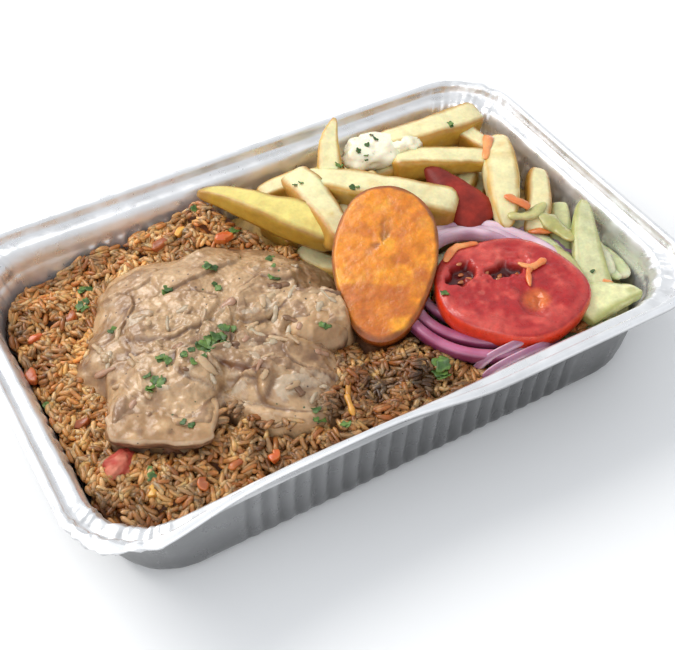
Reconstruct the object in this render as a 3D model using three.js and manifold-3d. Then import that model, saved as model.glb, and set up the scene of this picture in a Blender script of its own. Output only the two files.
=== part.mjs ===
// Pilau rice with beef in cream sauce, chips, plantain and salad in an oblong aluminium foil tray.
// Millimetres, +Z up. The origin is the middle of the tray's base, +X runs along the long side
// from the rice to the salad, and +Y runs to the back.
import * as THREE from 'three';
import { mergeVertices } from 'three/addons/utils/BufferGeometryUtils.js';
import { ParametricGeometry } from 'three/addons/geometries/ParametricGeometry.js';
import Module from 'manifold-3d';

const wasm = await Module();
wasm.setup();

// ---- Driving dimensions ------------------------------------------------------------------
const GAP = 0.3; // air kept between touching pieces
const SLIVER = 0.06; // detail finer than this is dropped from a cut piece
const TRAY = {
  length: 225, width: 144, height: 43.5, wall: 0.8,
  flutePitch: 5.7, fluteDepth: 1.0, longFlutes: 22, shortFlutes: 9, cornerSteps: 5,
};
// Rim and wall seen in section: inset from the rim's outer edge, height, plan corner radius.
const BEAD = { width: 3, foot: 3.7, under: 40.4, crown: 1, side: 42.2, radius: 25.4, footRadius: 24 };
const LEDGE = { z: 39.3, inner: 8.3, radius: 21.7 };
const BAND = { z: 34.8, inset: 10.1, radius: 22 };
const FLUTES = { top: 31, bottom: 6, topInset: 10.4, bottomInset: 12.9, radius: 22.6 };
const FLOOR = { inset: 18, radius: 21 };

// Where one kind of food ends and the next begins, in plan.
const RICE_EDGE = { x: 13, slope: -0.47 };
const SALAD_EDGE = { y: 3, slope: -0.05 };
const RICE = { z: 25, floor: 1.1, centre: [-42, 0] };
const CHIPS = { z: 31, centre: [48, 30] };
const SALAD = { z: 28, centre: [66, -30] };

const COLOURS = {
  foil: 0xc9ccd0, rice: 0xb98450, sauce: 0xd0ab85, beef: 0x8d6a50, plantain: 0xe09a3c,
  chip: 0xe2c566, cream: 0xf1ece0, tomato: 0xc8342c, onion: 0xb58bab, cucumber: 0xb9c283,
};

// ---- Small helpers -----------------------------------------------------------------------
const lerp = THREE.MathUtils.lerp;
const rad = THREE.MathUtils.degToRad;

// A smooth hill of the given height, widths rx and ry, centred on (cx, cy).
function hill(x, y, cx, cy, rx, ry, height) {
  return height * Math.exp(-(((x - cx) / rx) ** 2) - ((y - cy) / ry) ** 2);
}

// Gentle uneven relief that repeats only over long distances.
function ripple(x, y, wave, depth) {
  const a = Math.sin((x * 1.13 + y * 0.41) / wave) * Math.cos((y * 1.27 - x * 0.33) / wave);
  const b = Math.sin((x * 0.52 - y * 1.71) / wave + 1.3);
  return depth * (0.6 * a + 0.4 * b);
}

function signedVolume(geometry) {
  const p = geometry.getAttribute('position');
  const index = geometry.getIndex();
  const [a, b, c] = [new THREE.Vector3(), new THREE.Vector3(), new THREE.Vector3()];
  let sum = 0;
  for (let i = 0; i < index.count; i += 3) {
    a.fromBufferAttribute(p, index.getX(i));
    b.fromBufferAttribute(p, index.getX(i + 1));
    c.fromBufferAttribute(p, index.getX(i + 2));
    sum += a.dot(b.cross(c));
  }
  return sum / 6;
}

// Merge the shared corners, drop collapsed triangles and turn the faces outward.
function weld(source) {
  const bare = source.clone();
  bare.deleteAttribute('normal');
  bare.deleteAttribute('uv');
  const merged = mergeVertices(bare, 1e-4);
  const index = merged.getIndex();
  const kept = [];
  for (let i = 0; i < index.count; i += 3) {
    const [a, b, c] = [index.getX(i), index.getX(i + 1), index.getX(i + 2)];
    if (a !== b && b !== c && c !== a) kept.push(a, b, c);
  }
  merged.setIndex(kept);
  if (signedVolume(merged) < 0) {
    for (let i = 0; i < kept.length; i += 3) [kept[i], kept[i + 1]] = [kept[i + 1], kept[i]];
    merged.setIndex(kept);
  }
  return merged;
}

function toSolid(geometry) {
  const merged = weld(geometry);
  return new wasm.Manifold(new wasm.Mesh({
    numProp: 3,
    vertProperties: new Float32Array(merged.getAttribute('position').array),
    triVerts: new Uint32Array(merged.getIndex().array),
  }));
}

function toGeometry(solid) {
  const mesh = solid.getMesh();
  const geometry = new THREE.BufferGeometry();
  geometry.setAttribute('position', new THREE.BufferAttribute(mesh.vertProperties, 3));
  geometry.setIndex(new THREE.BufferAttribute(mesh.triVerts, 1));
  return geometry;
}

// Move every corner of a geometry through a function of its position.
function bend(geometry, move) {
  const p = geometry.getAttribute('position');
  const v = new THREE.Vector3();
  for (let i = 0; i < p.count; i += 1) {
    v.fromBufferAttribute(p, i);
    move(v);
    p.setXYZ(i, v.x, v.y, v.z);
  }
  return geometry;
}

// Roll a geometry about X, lift its +X end by the pitch, turn it to its heading and place it.
function place(geometry, at, heading = 0, pitch = 0, roll = 0) {
  const turn = new THREE.Euler(rad(roll), rad(-pitch), rad(heading), 'ZYX');
  const matrix = new THREE.Matrix4().makeRotationFromEuler(turn);
  matrix.setPosition(...at);
  return geometry.applyMatrix4(matrix);
}

// ---- Foil tray ---------------------------------------------------------------------------
// Stations run once round the tray: fluted stretches along the sides, arcs at the corners.
function sideStations(side, flutes) {
  const half = (flutes * TRAY.flutePitch) / 2;
  const stations = [];
  for (let i = 0; i <= flutes * 2; i += 1) {
    const along = -half + (i * TRAY.flutePitch) / 2;
    const end = i === 0 || i === flutes * 2;
    stations.push({ side, along, crest: end ? 0 : (i % 2) - 0.5 });
  }
  return stations;
}

function cornerStations(side) {
  const stations = [];
  for (let i = 0; i <= TRAY.cornerSteps; i += 1) {
    stations.push({ side, angle: (side + i / TRAY.cornerSteps) * (Math.PI / 2) });
  }
  return stations;
}

const STATIONS = [0, 1, 2, 3].flatMap((side) => [
  ...sideStations(side, side % 2 ? TRAY.longFlutes : TRAY.shortFlutes),
  ...cornerStations(side),
]);

// A point on the rounded rectangle that lies `inset` inside the rim's outer edge.
function outlinePoint(station, inset, radius, flute) {
  const hx = TRAY.length / 2 - inset;
  const hy = TRAY.width / 2 - inset;
  if (station.angle !== undefined) {
    const sx = station.side === 0 || station.side === 3 ? 1 : -1;
    const sy = station.side < 2 ? 1 : -1;
    return [
      sx * (hx - radius) + radius * Math.cos(station.angle),
      sy * (hy - radius) + radius * Math.sin(station.angle),
    ];
  }
  const turn = (station.side * Math.PI) / 2;
  const out = (station.side % 2 ? hy : hx) + flute * station.crest;
  return [
    Math.round(Math.cos(turn)) * out - Math.round(Math.sin(turn)) * station.along,
    Math.round(Math.sin(turn)) * out + Math.round(Math.cos(turn)) * station.along,
  ];
}

// The section, from the middle of the inside floor, up and over the rim, to the underside.
function traySection() {
  const t = TRAY.wall;
  const { height } = TRAY;
  const inner = [
    { inset: FLOOR.inset + t * 0.5, z: t, radius: FLOOR.radius },
    { inset: FLUTES.bottomInset + t, z: FLUTES.bottom, radius: FLUTES.radius, flute: 1 },
    { inset: FLUTES.topInset + t, z: FLUTES.top, radius: FLUTES.radius, flute: 1 },
    { inset: BAND.inset + t, z: BAND.z, radius: BAND.radius },
    { inset: LEDGE.inner, z: LEDGE.z, radius: LEDGE.radius },
    { inset: BEAD.foot, z: LEDGE.z, radius: BEAD.footRadius },
    { inset: BEAD.width, z: height, radius: BEAD.footRadius },
  ];
  const outer = [
    { inset: BEAD.crown, z: height, radius: BEAD.radius },
    { inset: 0, z: BEAD.side, radius: BEAD.radius },
    { inset: BEAD.crown / 2, z: BEAD.under, radius: BEAD.radius },
    { inset: BEAD.foot + t, z: LEDGE.z - t, radius: BEAD.footRadius },
    { inset: LEDGE.inner - t, z: LEDGE.z - t, radius: LEDGE.radius },
    { inset: FLUTES.topInset, z: FLUTES.top, radius: FLUTES.radius, flute: 1 },
    { inset: FLUTES.bottomInset, z: FLUTES.bottom, radius: FLUTES.radius, flute: 1 },
    { inset: FLOOR.inset, z: 0, radius: FLOOR.radius },
  ];
  return [{ middle: true, z: t }, ...inner, ...outer, { middle: true, z: 0 }];
}

function trayGeometry() {
  const section = traySection();
  const round = STATIONS.length;
  const across = section.length - 1;
  return new ParametricGeometry((u, v, target) => {
    const station = STATIONS[Math.round(u * round) % round];
    const row = section[Math.round(v * across)];
    if (row.middle) {
      target.set(0, 0, row.z);
      return;
    }
    const flute = (row.flute ?? 0) * TRAY.fluteDepth;
    const [x, y] = outlinePoint(station, row.inset, row.radius, flute);
    target.set(x, y, row.z);
  }, round, across);
}

// ---- Room inside the tray ----------------------------------------------------------------
function wallInset(z) {
  const clear = TRAY.wall + TRAY.fluteDepth / 2 + GAP;
  if (z < FLUTES.bottom) {
    return lerp(FLOOR.inset, FLUTES.bottomInset, z / FLUTES.bottom) + clear;
  }
  const rise = (z - FLUTES.bottom) / (FLUTES.top - FLUTES.bottom);
  return lerp(FLUTES.bottomInset, FLUTES.topInset, rise) + clear;
}

function insideTray(x, y, z) {
  const inset = wallInset(z);
  const r = FLUTES.radius;
  const dx = Math.abs(x) - (TRAY.length / 2 - inset - r);
  const dy = Math.abs(y) - (TRAY.width / 2 - inset - r);
  if (dx > 0 && dy > 0) return Math.hypot(dx, dy) < r;
  return Math.max(dx, dy) < r;
}

const riceEdge = (y) => RICE_EDGE.x + RICE_EDGE.slope * y;
const saladEdge = (x) => SALAD_EDGE.y + SALAD_EDGE.slope * x;

// ---- Heaps -------------------------------------------------------------------------------
// How far a ray from the centre runs before it leaves the region, found by halving.
function reach(inside, centre, angle, z) {
  let [low, high] = [0, TRAY.length];
  for (let i = 0; i < 24; i += 1) {
    const mid = (low + high) / 2;
    const ok = inside(centre[0] + mid * Math.cos(angle), centre[1] + mid * Math.sin(angle), z);
    if (ok) low = mid;
    else high = mid;
  }
  return low;
}

// A closed heap: an uneven top out to the region's edge, then down the sides to a flat floor.
function heap(inside, centre, top, around, rings) {
  const sides = [0.5, 0.2, 0];
  const rows = rings + sides.length + 1;
  return new ParametricGeometry((u, v, target) => {
    const angle = (Math.round(u * around) % around) * ((2 * Math.PI) / around);
    const row = Math.round(v * rows);
    const edge = reach(inside, centre, angle, RICE.z);
    const along = (r) => [centre[0] + r * Math.cos(angle), centre[1] + r * Math.sin(angle)];
    if (row <= rings) {
      const [x, y] = along((edge * row) / rings);
      target.set(x, y, top(x, y));
      return;
    }
    if (row === rows) {
      target.set(centre[0], centre[1], RICE.floor);
      return;
    }
    const [ex, ey] = along(edge);
    const z = lerp(RICE.floor, top(ex, ey), sides[row - rings - 1]);
    const [x, y] = along(Math.min(edge, reach(inside, centre, angle, z)));
    target.set(x, y, z);
  }, around, rows);
}

const inRice = (x, y, z) => insideTray(x, y, z) && x < riceEdge(y) - GAP;
const inRight = (x, y, z) => insideTray(x, y, z) && x > riceEdge(y) + GAP;
const inChips = (x, y, z) => inRight(x, y, z) && y > saladEdge(x) + GAP;
const inSalad = (x, y, z) => inRight(x, y, z) && y < saladEdge(x) - GAP;

function riceTop(x, y) {
  const behind = hill(x, y, -18, 56, 36, 20, 9);
  const underBeef = hill(x, y, -38, 0, 46, 44, 3);
  const front = hill(x, y, 8, -46, 42, 22, 4);
  return RICE.z + behind + underBeef + front + ripple(x, y, 6, 1);
}

function chipsTop(x, y) {
  const back = hill(x, y, 74, 48, 40, 26, 6);
  const left = hill(x, y, 22, 36, 26, 26, 4);
  return CHIPS.z + back + left + ripple(x, y, 7, 2.2);
}

function saladTop(x, y) {
  const corner = hill(x, y, 98, -34, 16, 26, -4);
  return SALAD.z + corner + ripple(x, y, 6, 1.8);
}

// One chip: a squared stick that bows a little and narrows to its cut end.
function chip(length, width, thick, bow, taper) {
  const stick = new THREE.BoxGeometry(length, width, thick, 3, 1, 1);
  return bend(stick, (v) => {
    const t = v.x / length;
    const keep = 1 - taper * (t + 0.5) ** 2;
    v.y *= keep;
    v.z = v.z * keep + bow * (0.25 - t * t) * 4;
  });
}

// Chips that stand out of the heap: middle, heading, pitch (up at +X end), size, bow, taper.
const CHIPS_ON_TOP = [
  { at: [74, 47, 40], heading: -3, pitch: 0, size: [44, 13, 11], bow: 1, taper: 0.2 },
  { at: [31, 47, 43], heading: 57, pitch: 25, size: [36, 9, 8], bow: 0, taper: 0.4 },
  { at: [16, 31, 38], heading: -95, pitch: 2, size: [42, 12, 11], bow: 1, taper: 0.2 },
  { at: [37, 26, 38.5], heading: -45, pitch: 0, size: [58, 12, 11], bow: 1.5, taper: 0.15 },
  { at: [67, 30, 39.5], heading: -24, pitch: 2, size: [36, 11, 9], bow: 1, taper: 0.2 },
  { at: [87, 36, 38.5], heading: -78, pitch: -4, size: [30, 10, 9], bow: 0, taper: 0.3 },
  { at: [82, 12, 37], heading: 57, pitch: 10, size: [42, 13, 8], bow: 2, taper: 0.3 },
  { at: [89, -1, 34], heading: 54, pitch: 10, size: [32, 10, 9], bow: 1, taper: 0.3 },
];

// Cucumber and cabbage sticks that stand out of the salad.
const STICKS_ON_TOP = [
  { at: [90, -32, 34.5], heading: 60, pitch: 14, size: [42, 10, 6], bow: 1, taper: 0.25 },
  { at: [90, -14, 31], heading: 60, pitch: 10, size: [24, 8, 6], bow: 0, taper: 0.2 },
  { at: [85, -52.5, 29], heading: 8, pitch: 0, size: [30, 12, 6], bow: 1, taper: 0.2 },
];

function sticks(list) {
  return list.map((s) => toSolid(
    place(chip(...s.size, s.bow, s.taper), s.at, s.heading, s.pitch),
  ));
}

// The large pale wedge that leans on the back ledge.
const WEDGE = { size: [54, 14, 11], bow: 1, taper: 0.3, at: [-1.5, 38, 38.5], heading: -50, pitch: -5 };

function chipWedge(grow) {
  const stick = chip(...WEDGE.size.map((side) => side + 2 * grow), WEDGE.bow, WEDGE.taper);
  return toSolid(place(stick, WEDGE.at, WEDGE.heading, WEDGE.pitch));
}

// ---- Pieces on top -----------------------------------------------------------------------
// Lumps: middle, half sizes, heading, pitch, relief wave and depth, and rings of facets.
const BEEF = {
  beef_slice_front: {
    at: [-71, -26, 31.5], radii: [16, 8.5, 5], heading: -25, pitch: 0, wave: 3.1, depth: 0.05, rings: 7,
  },
  beef_slice_middle: {
    at: [-37, -35, 31.5], radii: [19, 8.5, 5], heading: -44, pitch: -3, wave: 3.1, depth: 0.05, rings: 7,
  },
  beef_lump_right: {
    at: [-11, -13.5, 33], radii: [11, 9.5, 7], heading: -20, pitch: 0, wave: 3.1, depth: 0.05, rings: 7,
  },
};
const RED_WEDGE = {
  at: [64.5, 9, 39.5], radii: [19, 7, 6], heading: -84, pitch: -9, wave: 4, depth: 0.02, rings: 6,
};
const DOLLOP = {
  at: [48, 46.5, 41.5], radii: [13, 8.5, 5.5], heading: -20, pitch: 0, wave: 2.2, depth: 0.08, rings: 7,
};
const TOMATO_BIT = {
  at: [-88, -30, 28.5], radii: [5, 4.2, 3.6], heading: 20, pitch: 0, wave: 2, depth: 0.06, rings: 5,
};

// A rounded lump: a sphere squashed to size, with shallow uneven relief.
function lump({ at, radii, heading, pitch, wave, depth, rings }, grow) {
  const ball = new THREE.SphereGeometry(1, rings * 2, rings);
  const [rx, ry, rz] = radii.map((r) => r + grow);
  const body = bend(ball, (v) => {
    const swell = 1 + ripple(v.x * 20 + v.z * 9, v.y * 20 - v.z * 7, wave, depth);
    v.set(v.x * rx * swell, v.y * ry * swell, v.z * rz * swell);
  });
  return toSolid(place(body, at, heading, pitch));
}

// The sauce pool is a flat-topped mound whose plan is a rounded oblong, notched at one corner.
const SAUCE = {
  at: [-39, 3], half: [45.5, 44.5], floor: 20.5, edge: 25, depth: 13, squareness: 2.7,
  notch: { angle: 313, spread: 13, depth: 0.36 }, around: 28, rings: 4,
};

// Distance from the pool's middle to its ragged edge, at an angle in the plan.
function sauceReach(angle) {
  const k = SAUCE.squareness;
  const [c, s] = [Math.abs(Math.cos(angle)), Math.abs(Math.sin(angle))];
  const oblong = ((c / SAUCE.half[0]) ** k + (s / SAUCE.half[1]) ** k) ** (-1 / k);
  const { notch } = SAUCE;
  const bite = 1 - notch.depth * Math.exp(-(((angle - rad(notch.angle)) / rad(notch.spread)) ** 2));
  const ragged = 1 + 0.03 * Math.sin(angle * 7 + 0.6) + 0.02 * Math.sin(angle * 11);
  return oblong * bite * ragged;
}

function sauceTop(x, y, out) {
  const swell = SAUCE.depth * (1 - out ** 3.2);
  const lumps = hill(x, y, -58, -18, 16, 12, 2.5) + hill(x, y, -30, 18, 20, 18, 2);
  const dip = hill(x, y, -14, 30, 16, 12, -3);
  const uneven = out < 1 ? ripple(x, y, 4.2, 1.3) + lumps + dip : 0;
  return SAUCE.edge + swell + uneven * (1 - out) ** 0.3;
}

function sauceMound() {
  const { around, rings } = SAUCE;
  return toSolid(new ParametricGeometry((u, v, target) => {
    const angle = (Math.round(u * around) % around) * ((2 * Math.PI) / around);
    const step = Math.round(v * (rings + 1));
    if (step > rings) {
      target.set(...SAUCE.at, SAUCE.floor);
      return;
    }
    const out = step / rings;
    const r = sauceReach(angle) * out;
    const [x, y] = [SAUCE.at[0] + r * Math.cos(angle), SAUCE.at[1] + r * Math.sin(angle)];
    target.set(x, y, sauceTop(x, y, out));
  }, around, rings + 1));
}

// A slanting slice of plantain: an egg-shaped outline with softened edges.
const PLANTAIN = {
  length: 59, width: 35.5, thick: 8, bevel: 1.8, egg: 0.16, facets: 24,
  at: [19.5, -7.5, 41.5], heading: 56, pitch: 19, roll: -5,
};

function plantainSlice(grow) {
  const { bevel, facets } = PLANTAIN;
  const [a, b] = [PLANTAIN.length / 2 + grow, PLANTAIN.width / 2 + grow];
  const egg = new THREE.Shape();
  for (let i = 0; i < facets; i += 1) {
    const t = (i * 2 * Math.PI) / facets;
    const point = [a * Math.cos(t), b * Math.sin(t) * (1 + PLANTAIN.egg * Math.cos(t))];
    if (i === 0) egg.moveTo(...point);
    else egg.lineTo(...point);
  }
  egg.closePath();
  const depth = PLANTAIN.thick + grow * 2 - bevel * 2;
  const slice = new THREE.ExtrudeGeometry(egg, {
    depth, steps: 1, bevelThickness: bevel, bevelSize: bevel, bevelOffset: -bevel, bevelSegments: 1,
  });
  slice.translate(0, 0, -depth / 2);
  return toSolid(place(slice, PLANTAIN.at, PLANTAIN.heading, PLANTAIN.pitch, PLANTAIN.roll));
}

// A thick slice off a tomato: flat cut faces and a bulging skin edge.
const TOMATO = {
  radius: 26, short: 23, thick: 9, facets: 24, at: [51, -36.5, 39], heading: -36, pitch: 0, roll: 2,
};
// Seed cavities in the upper cut face: middle, half sizes and turn, in the slice's own frame.
const CAVITIES = [
  { at: [-17, 4], half: [5.5, 3.6], turn: 50 },
  { at: [-2, 9], half: [8, 3.2], turn: 10 },
  { at: [7, -7], half: [7, 4], turn: -25 },
];
const CAVITY_DEPTH = 4;

const onTomato = (geometry) => toSolid(
  place(geometry, TOMATO.at, TOMATO.heading, TOMATO.pitch, TOMATO.roll),
);

// A profile of [radius, height] points turned round the vertical axis.
function latheOnZ(profile, facets) {
  const points = profile.map(([r, z]) => new THREE.Vector2(r, z));
  return new THREE.LatheGeometry(points, facets).rotateX(Math.PI / 2);
}

function tomatoSlice(grow) {
  const r = TOMATO.radius + grow;
  const h = TOMATO.thick / 2 + grow;
  const skin = [[0, -h], [r - 4, -h], [r - 0.6, -h * 0.4], [r, h * 0.4], [r - 2, h], [0, h]];
  return onTomato(latheOnZ(skin, TOMATO.facets).scale(1, TOMATO.short / TOMATO.radius, 1));
}

function seedCavity({ at, half, turn }) {
  const bowl = new THREE.SphereGeometry(1, 8, 6).scale(half[0], half[1], CAVITY_DEPTH);
  return onTomato(bowl.rotateZ(rad(turn)).translate(at[0], at[1], TOMATO.thick / 2));
}

// Rings of red onion: a thin wall, taller than it is thick, that leans out a little.
const ONION = {
  onion_ring_outer: { at: [47, -27, 31.4], radius: 32, wall: 2.2, tall: 4, roll: -1 },
  onion_ring_middle: { at: [48.5, -25, 31.6], radius: 27.5, wall: 2, tall: 4, roll: -2 },
  onion_ring_inner: { at: [50, -22, 31.8], radius: 23, wall: 2, tall: 3.6, roll: -3 },
  onion_ring_front: { at: [38, -46.5, 34.6], radius: 13, wall: 2, tall: 5, roll: -22 },
};
const ONION_LEAN = 0.6;
const ONION_FACETS = 18;

function onionRing({ at, radius, wall, tall, roll }, grow) {
  const [low, high] = [-tall / 2 - grow, tall / 2 + grow];
  const [inside, outside] = [radius - wall - grow, radius + grow];
  const section = [
    [outside - ONION_LEAN, low], [outside + ONION_LEAN, high],
    [inside + ONION_LEAN, high], [inside - ONION_LEAN, low], [outside - ONION_LEAN, low],
  ];
  return toSolid(place(latheOnZ(section, ONION_FACETS), at, 0, 0, roll));
}

// ---- Everything put together --------------------------------------------------------------
const ROOM = { around: 28, top: 80 };

// The space inside the tray's walls, from the heaps' floor up to well above the rim.
function wallRoom() {
  const { around } = ROOM;
  const levels = [RICE.floor, FLUTES.bottom, FLUTES.top, ROOM.top];
  const rows = levels.length + 1;
  return toSolid(new ParametricGeometry((u, v, target) => {
    const angle = (Math.round(u * around) % around) * ((2 * Math.PI) / around);
    const row = Math.round(v * rows);
    const z = levels[THREE.MathUtils.clamp(row - 1, 0, levels.length - 1)];
    const middle = row === 0 || row === rows;
    const r = middle ? 0 : reach(insideTray, [0, 0], angle, Math.min(z, FLUTES.top));
    target.set(r * Math.cos(angle), r * Math.sin(angle), z);
  }, around, rows));
}

const raised = (solid) => solid.translate([0, 0, GAP]);

// A heap with the gap added over it and along its front.
const roomOf = (solid) => solid.add(raised(solid)).add(solid.translate([0, -GAP, 0]));

// Cut a piece clear of its neighbours and keep its largest body, without slivers.
function fit(solid, neighbours) {
  const left = neighbours.reduce((rest, other) => rest.subtract(other), solid).simplify(SLIVER);
  return left.decompose().reduce((best, body) => (body.volume() > best.volume() ? body : best));
}

// The three heaps, each joined to the sticks that stand out of it.
function addHeaps(pieces, room) {
  pieces.rice_heap = toSolid(heap(inRice, RICE.centre, riceTop, 32, 5));
  const chipsCore = toSolid(heap(inChips, CHIPS.centre, chipsTop, 20, 3));
  const saladCore = toSolid(heap(inSalad, SALAD.centre, saladTop, 20, 3));
  const join = (core, list) => sticks(list).reduce((all, one) => all.add(one.intersect(room)), core);
  const shared = [
    plantainSlice(GAP), chipWedge(GAP), tomatoSlice(GAP), lump(RED_WEDGE, GAP),
  ];
  pieces.chips_heap = fit(join(chipsCore, CHIPS_ON_TOP), [
    raised(pieces.rice_heap), ...shared, lump(DOLLOP, GAP), raised(saladCore),
  ]);
  pieces.salad_heap = fit(join(saladCore, STICKS_ON_TOP), [
    ...shared, roomOf(pieces.chips_heap),
    ...Object.values(ONION).map((ring) => onionRing(ring, GAP)),
  ]);
}

// The slices and wedges that lie on the right-hand heaps.
function addRightPieces(pieces, room) {
  const rice = raised(pieces.rice_heap);
  pieces.plantain_slice = plantainSlice(0);
  pieces.tomato_slice = fit(tomatoSlice(0), [plantainSlice(GAP), ...CAVITIES.map(seedCavity)]);
  pieces.chip_wedge = fit(chipWedge(0).intersect(room), [rice, plantainSlice(GAP)]);
  pieces.red_tomato_wedge = fit(lump(RED_WEDGE, 0), [plantainSlice(GAP)]);
  pieces.garlic_sauce = fit(lump(DOLLOP, 0), [lump(RED_WEDGE, GAP)]);
  const blocks = [
    plantainSlice(GAP), tomatoSlice(GAP), rice, lump(RED_WEDGE, GAP), roomOf(pieces.chips_heap),
  ];
  const laid = [];
  for (const [name, ring] of Object.entries(ONION)) {
    pieces[name] = fit(onionRing(ring, 0).intersect(room), [...laid, ...blocks]);
    laid.push(onionRing(ring, GAP));
  }
}

// The beef, the sauce round it and the bit of tomato by its edge.
function addStew(pieces) {
  const below = [raised(pieces.rice_heap), roomOf(pieces.chips_heap), plantainSlice(GAP)];
  for (const [name, spec] of Object.entries(BEEF)) pieces[name] = fit(lump(spec, 0), below);
  pieces.cream_sauce = fit(sauceMound(), [
    ...below, chipWedge(GAP), raised(pieces.salad_heap),
    ...Object.values(BEEF).map((spec) => lump(spec, GAP)),
  ]);
  pieces.tomato_bit = fit(lump(TOMATO_BIT, 0), [
    raised(pieces.rice_heap), lump(BEEF.beef_slice_front, GAP), pieces.cream_sauce,
  ]);
}

// Colour, roughness and metalness of each piece.
const FINISH = {
  foil_tray: ['foil', 0.25, 1],
  rice_heap: ['rice', 0.6, 0],
  cream_sauce: ['sauce', 0.35, 0],
  beef_slice_front: ['beef', 0.5, 0],
  beef_slice_middle: ['beef', 0.5, 0],
  beef_lump_right: ['beef', 0.5, 0],
  plantain_slice: ['plantain', 0.4, 0],
  chips_heap: ['chip', 0.55, 0],
  chip_wedge: ['chip', 0.5, 0],
  garlic_sauce: ['cream', 0.35, 0],
  red_tomato_wedge: ['tomato', 0.4, 0],
  tomato_slice: ['tomato', 0.3, 0],
  onion_ring_outer: ['onion', 0.4, 0],
  onion_ring_middle: ['onion', 0.4, 0],
  onion_ring_inner: ['onion', 0.4, 0],
  onion_ring_front: ['onion', 0.4, 0],
  salad_heap: ['cucumber', 0.5, 0],
  tomato_bit: ['tomato', 0.4, 0],
};

function buildDish() {
  const pieces = {};
  const room = wallRoom();
  addHeaps(pieces, room);
  addRightPieces(pieces, room);
  addStew(pieces);
  const geometries = { foil_tray: trayGeometry() };
  for (const [name, solid] of Object.entries(pieces)) geometries[name] = toGeometry(solid);
  const dish = new THREE.Group();
  for (const [name, [colour, roughness, metalness]] of Object.entries(FINISH)) {
    const material = new THREE.MeshStandardMaterial({ color: COLOURS[colour], roughness, metalness });
    const mesh = new THREE.Mesh(weld(geometries[name]), material);
    mesh.name = name;
    dish.add(mesh);
  }
  return dish;
}

export default buildDish();
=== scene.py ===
"""Pilau rice with beef in cream sauce, chips, plantain and salad in an oblong foil tray.

Shapes are worked out in millimetres in the CAD's frame and scaled to metres as each mesh is made.
A colour in a tuple is what a screen shows, 0 to 255; a colour in an array is linear light.
"""

import itertools
import math

import bpy
import numpy as np
from mathutils import Matrix, Vector
from mathutils.bvhtree import BVHTree


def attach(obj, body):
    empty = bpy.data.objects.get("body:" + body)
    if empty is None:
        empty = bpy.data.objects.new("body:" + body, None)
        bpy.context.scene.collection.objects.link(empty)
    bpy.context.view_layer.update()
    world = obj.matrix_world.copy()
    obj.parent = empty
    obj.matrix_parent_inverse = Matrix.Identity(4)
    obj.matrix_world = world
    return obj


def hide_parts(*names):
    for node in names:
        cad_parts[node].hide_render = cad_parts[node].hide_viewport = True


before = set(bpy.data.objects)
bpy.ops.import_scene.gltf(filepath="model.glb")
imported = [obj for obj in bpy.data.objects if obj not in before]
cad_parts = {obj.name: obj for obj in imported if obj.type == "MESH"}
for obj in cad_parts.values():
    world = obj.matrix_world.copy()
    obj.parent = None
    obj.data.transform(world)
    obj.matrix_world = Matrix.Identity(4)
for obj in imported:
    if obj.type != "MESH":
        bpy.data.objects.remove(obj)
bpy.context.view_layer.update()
MM = 0.001
TAU = 2 * math.pi
rad = math.radians


# ---- Numbers and noise ----
def smooth(low, high, x):
    t = np.clip((np.asarray(x, float) - low) / (high - low), 0, 1)
    return t * t * (3 - 2 * t)


def hills(x, y, *each):
    """Soft rises, each with its middle, its spread in x and y, and its height."""
    return sum(h * np.exp(-(((x - cx) / a) ** 2) - ((y - cy) / b) ** 2) for cx, cy, a, b, h in each)


def ripple(x, y, wave, depth):
    """Crossed waves of uneven depth."""
    a = np.sin((x * 1.13 + y * 0.41) / wave) * np.cos((y * 1.27 - x * 0.33) / wave)
    return depth * (0.6 * a + 0.4 * np.sin((x * 0.52 - y * 1.71) / wave + 1.3))


def lattice(i, seed):
    """Pseudo-random values from 0 to 1 at whole-number points."""
    h = i[..., 0] * 374761393 + i[..., 1] * 668265263 + i[..., 2] * 962287 + seed * 97463
    h = ((h ^ (h >> 13)) * 1274126177) & 0xFFFFFFFF
    return ((h ^ (h >> 16)) & 0xFFFFFF) / 0xFFFFFF


def noise(points, size, seed=0):
    """Smooth noise from -1 to 1 whose blobs are about size across."""
    p = np.asarray(points, float) / size
    i = np.floor(p).astype(np.int64)
    f = p - i
    f = f * f * (3 - 2 * f)
    total = 0
    for corner in itertools.product((0, 1), repeat=3):
        weight = np.prod(np.where(corner, f, 1 - f), axis=-1)
        total = total + weight * lattice(i + np.array(corner), seed)
    return total * 2 - 1


def fbm(points, size, octaves, seed):
    return sum(noise(points, size / 2**k, seed + k) / 2**k for k in range(octaves))


def plane(x, y, z=0.0):
    return np.stack(np.broadcast_arrays(x, y, z), axis=-1)


def circle(n):
    return np.arange(n) * TAU / n


def turned(x, y, cx, cy, heading):
    """Points as seen from something at (cx, cy) that is turned to a heading."""
    c, s = math.cos(rad(heading)), math.sin(rad(heading))
    return c * (x - cx) + s * (y - cy), c * (y - cy) - s * (x - cx)


def oval(x, y, cx, cy, a, b, heading, square=2.0):
    """Distance from the middle of a turned oval, 1 at its edge."""
    u, v = turned(x, y, cx, cy, heading)
    return (np.abs(u / a) ** square + np.abs(v / b) ** square) ** (1 / square)


def light(colour):
    """A colour as linear light."""
    if not isinstance(colour, tuple):
        return np.asarray(colour, float)
    c = np.array(colour) / 255
    return np.where(c <= 0.04045, c / 12.92, ((c + 0.055) / 1.055) ** 2.4)


def mix(a, b, t):
    t = np.asarray(t, float)[..., None]
    return light(a) * (1 - t) + light(b) * t


def layered(tint, *layers):
    """A tint under other colours, each laid on by its share."""
    for colour, share in layers:
        tint = mix(tint, colour, share)
    return tint


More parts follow.
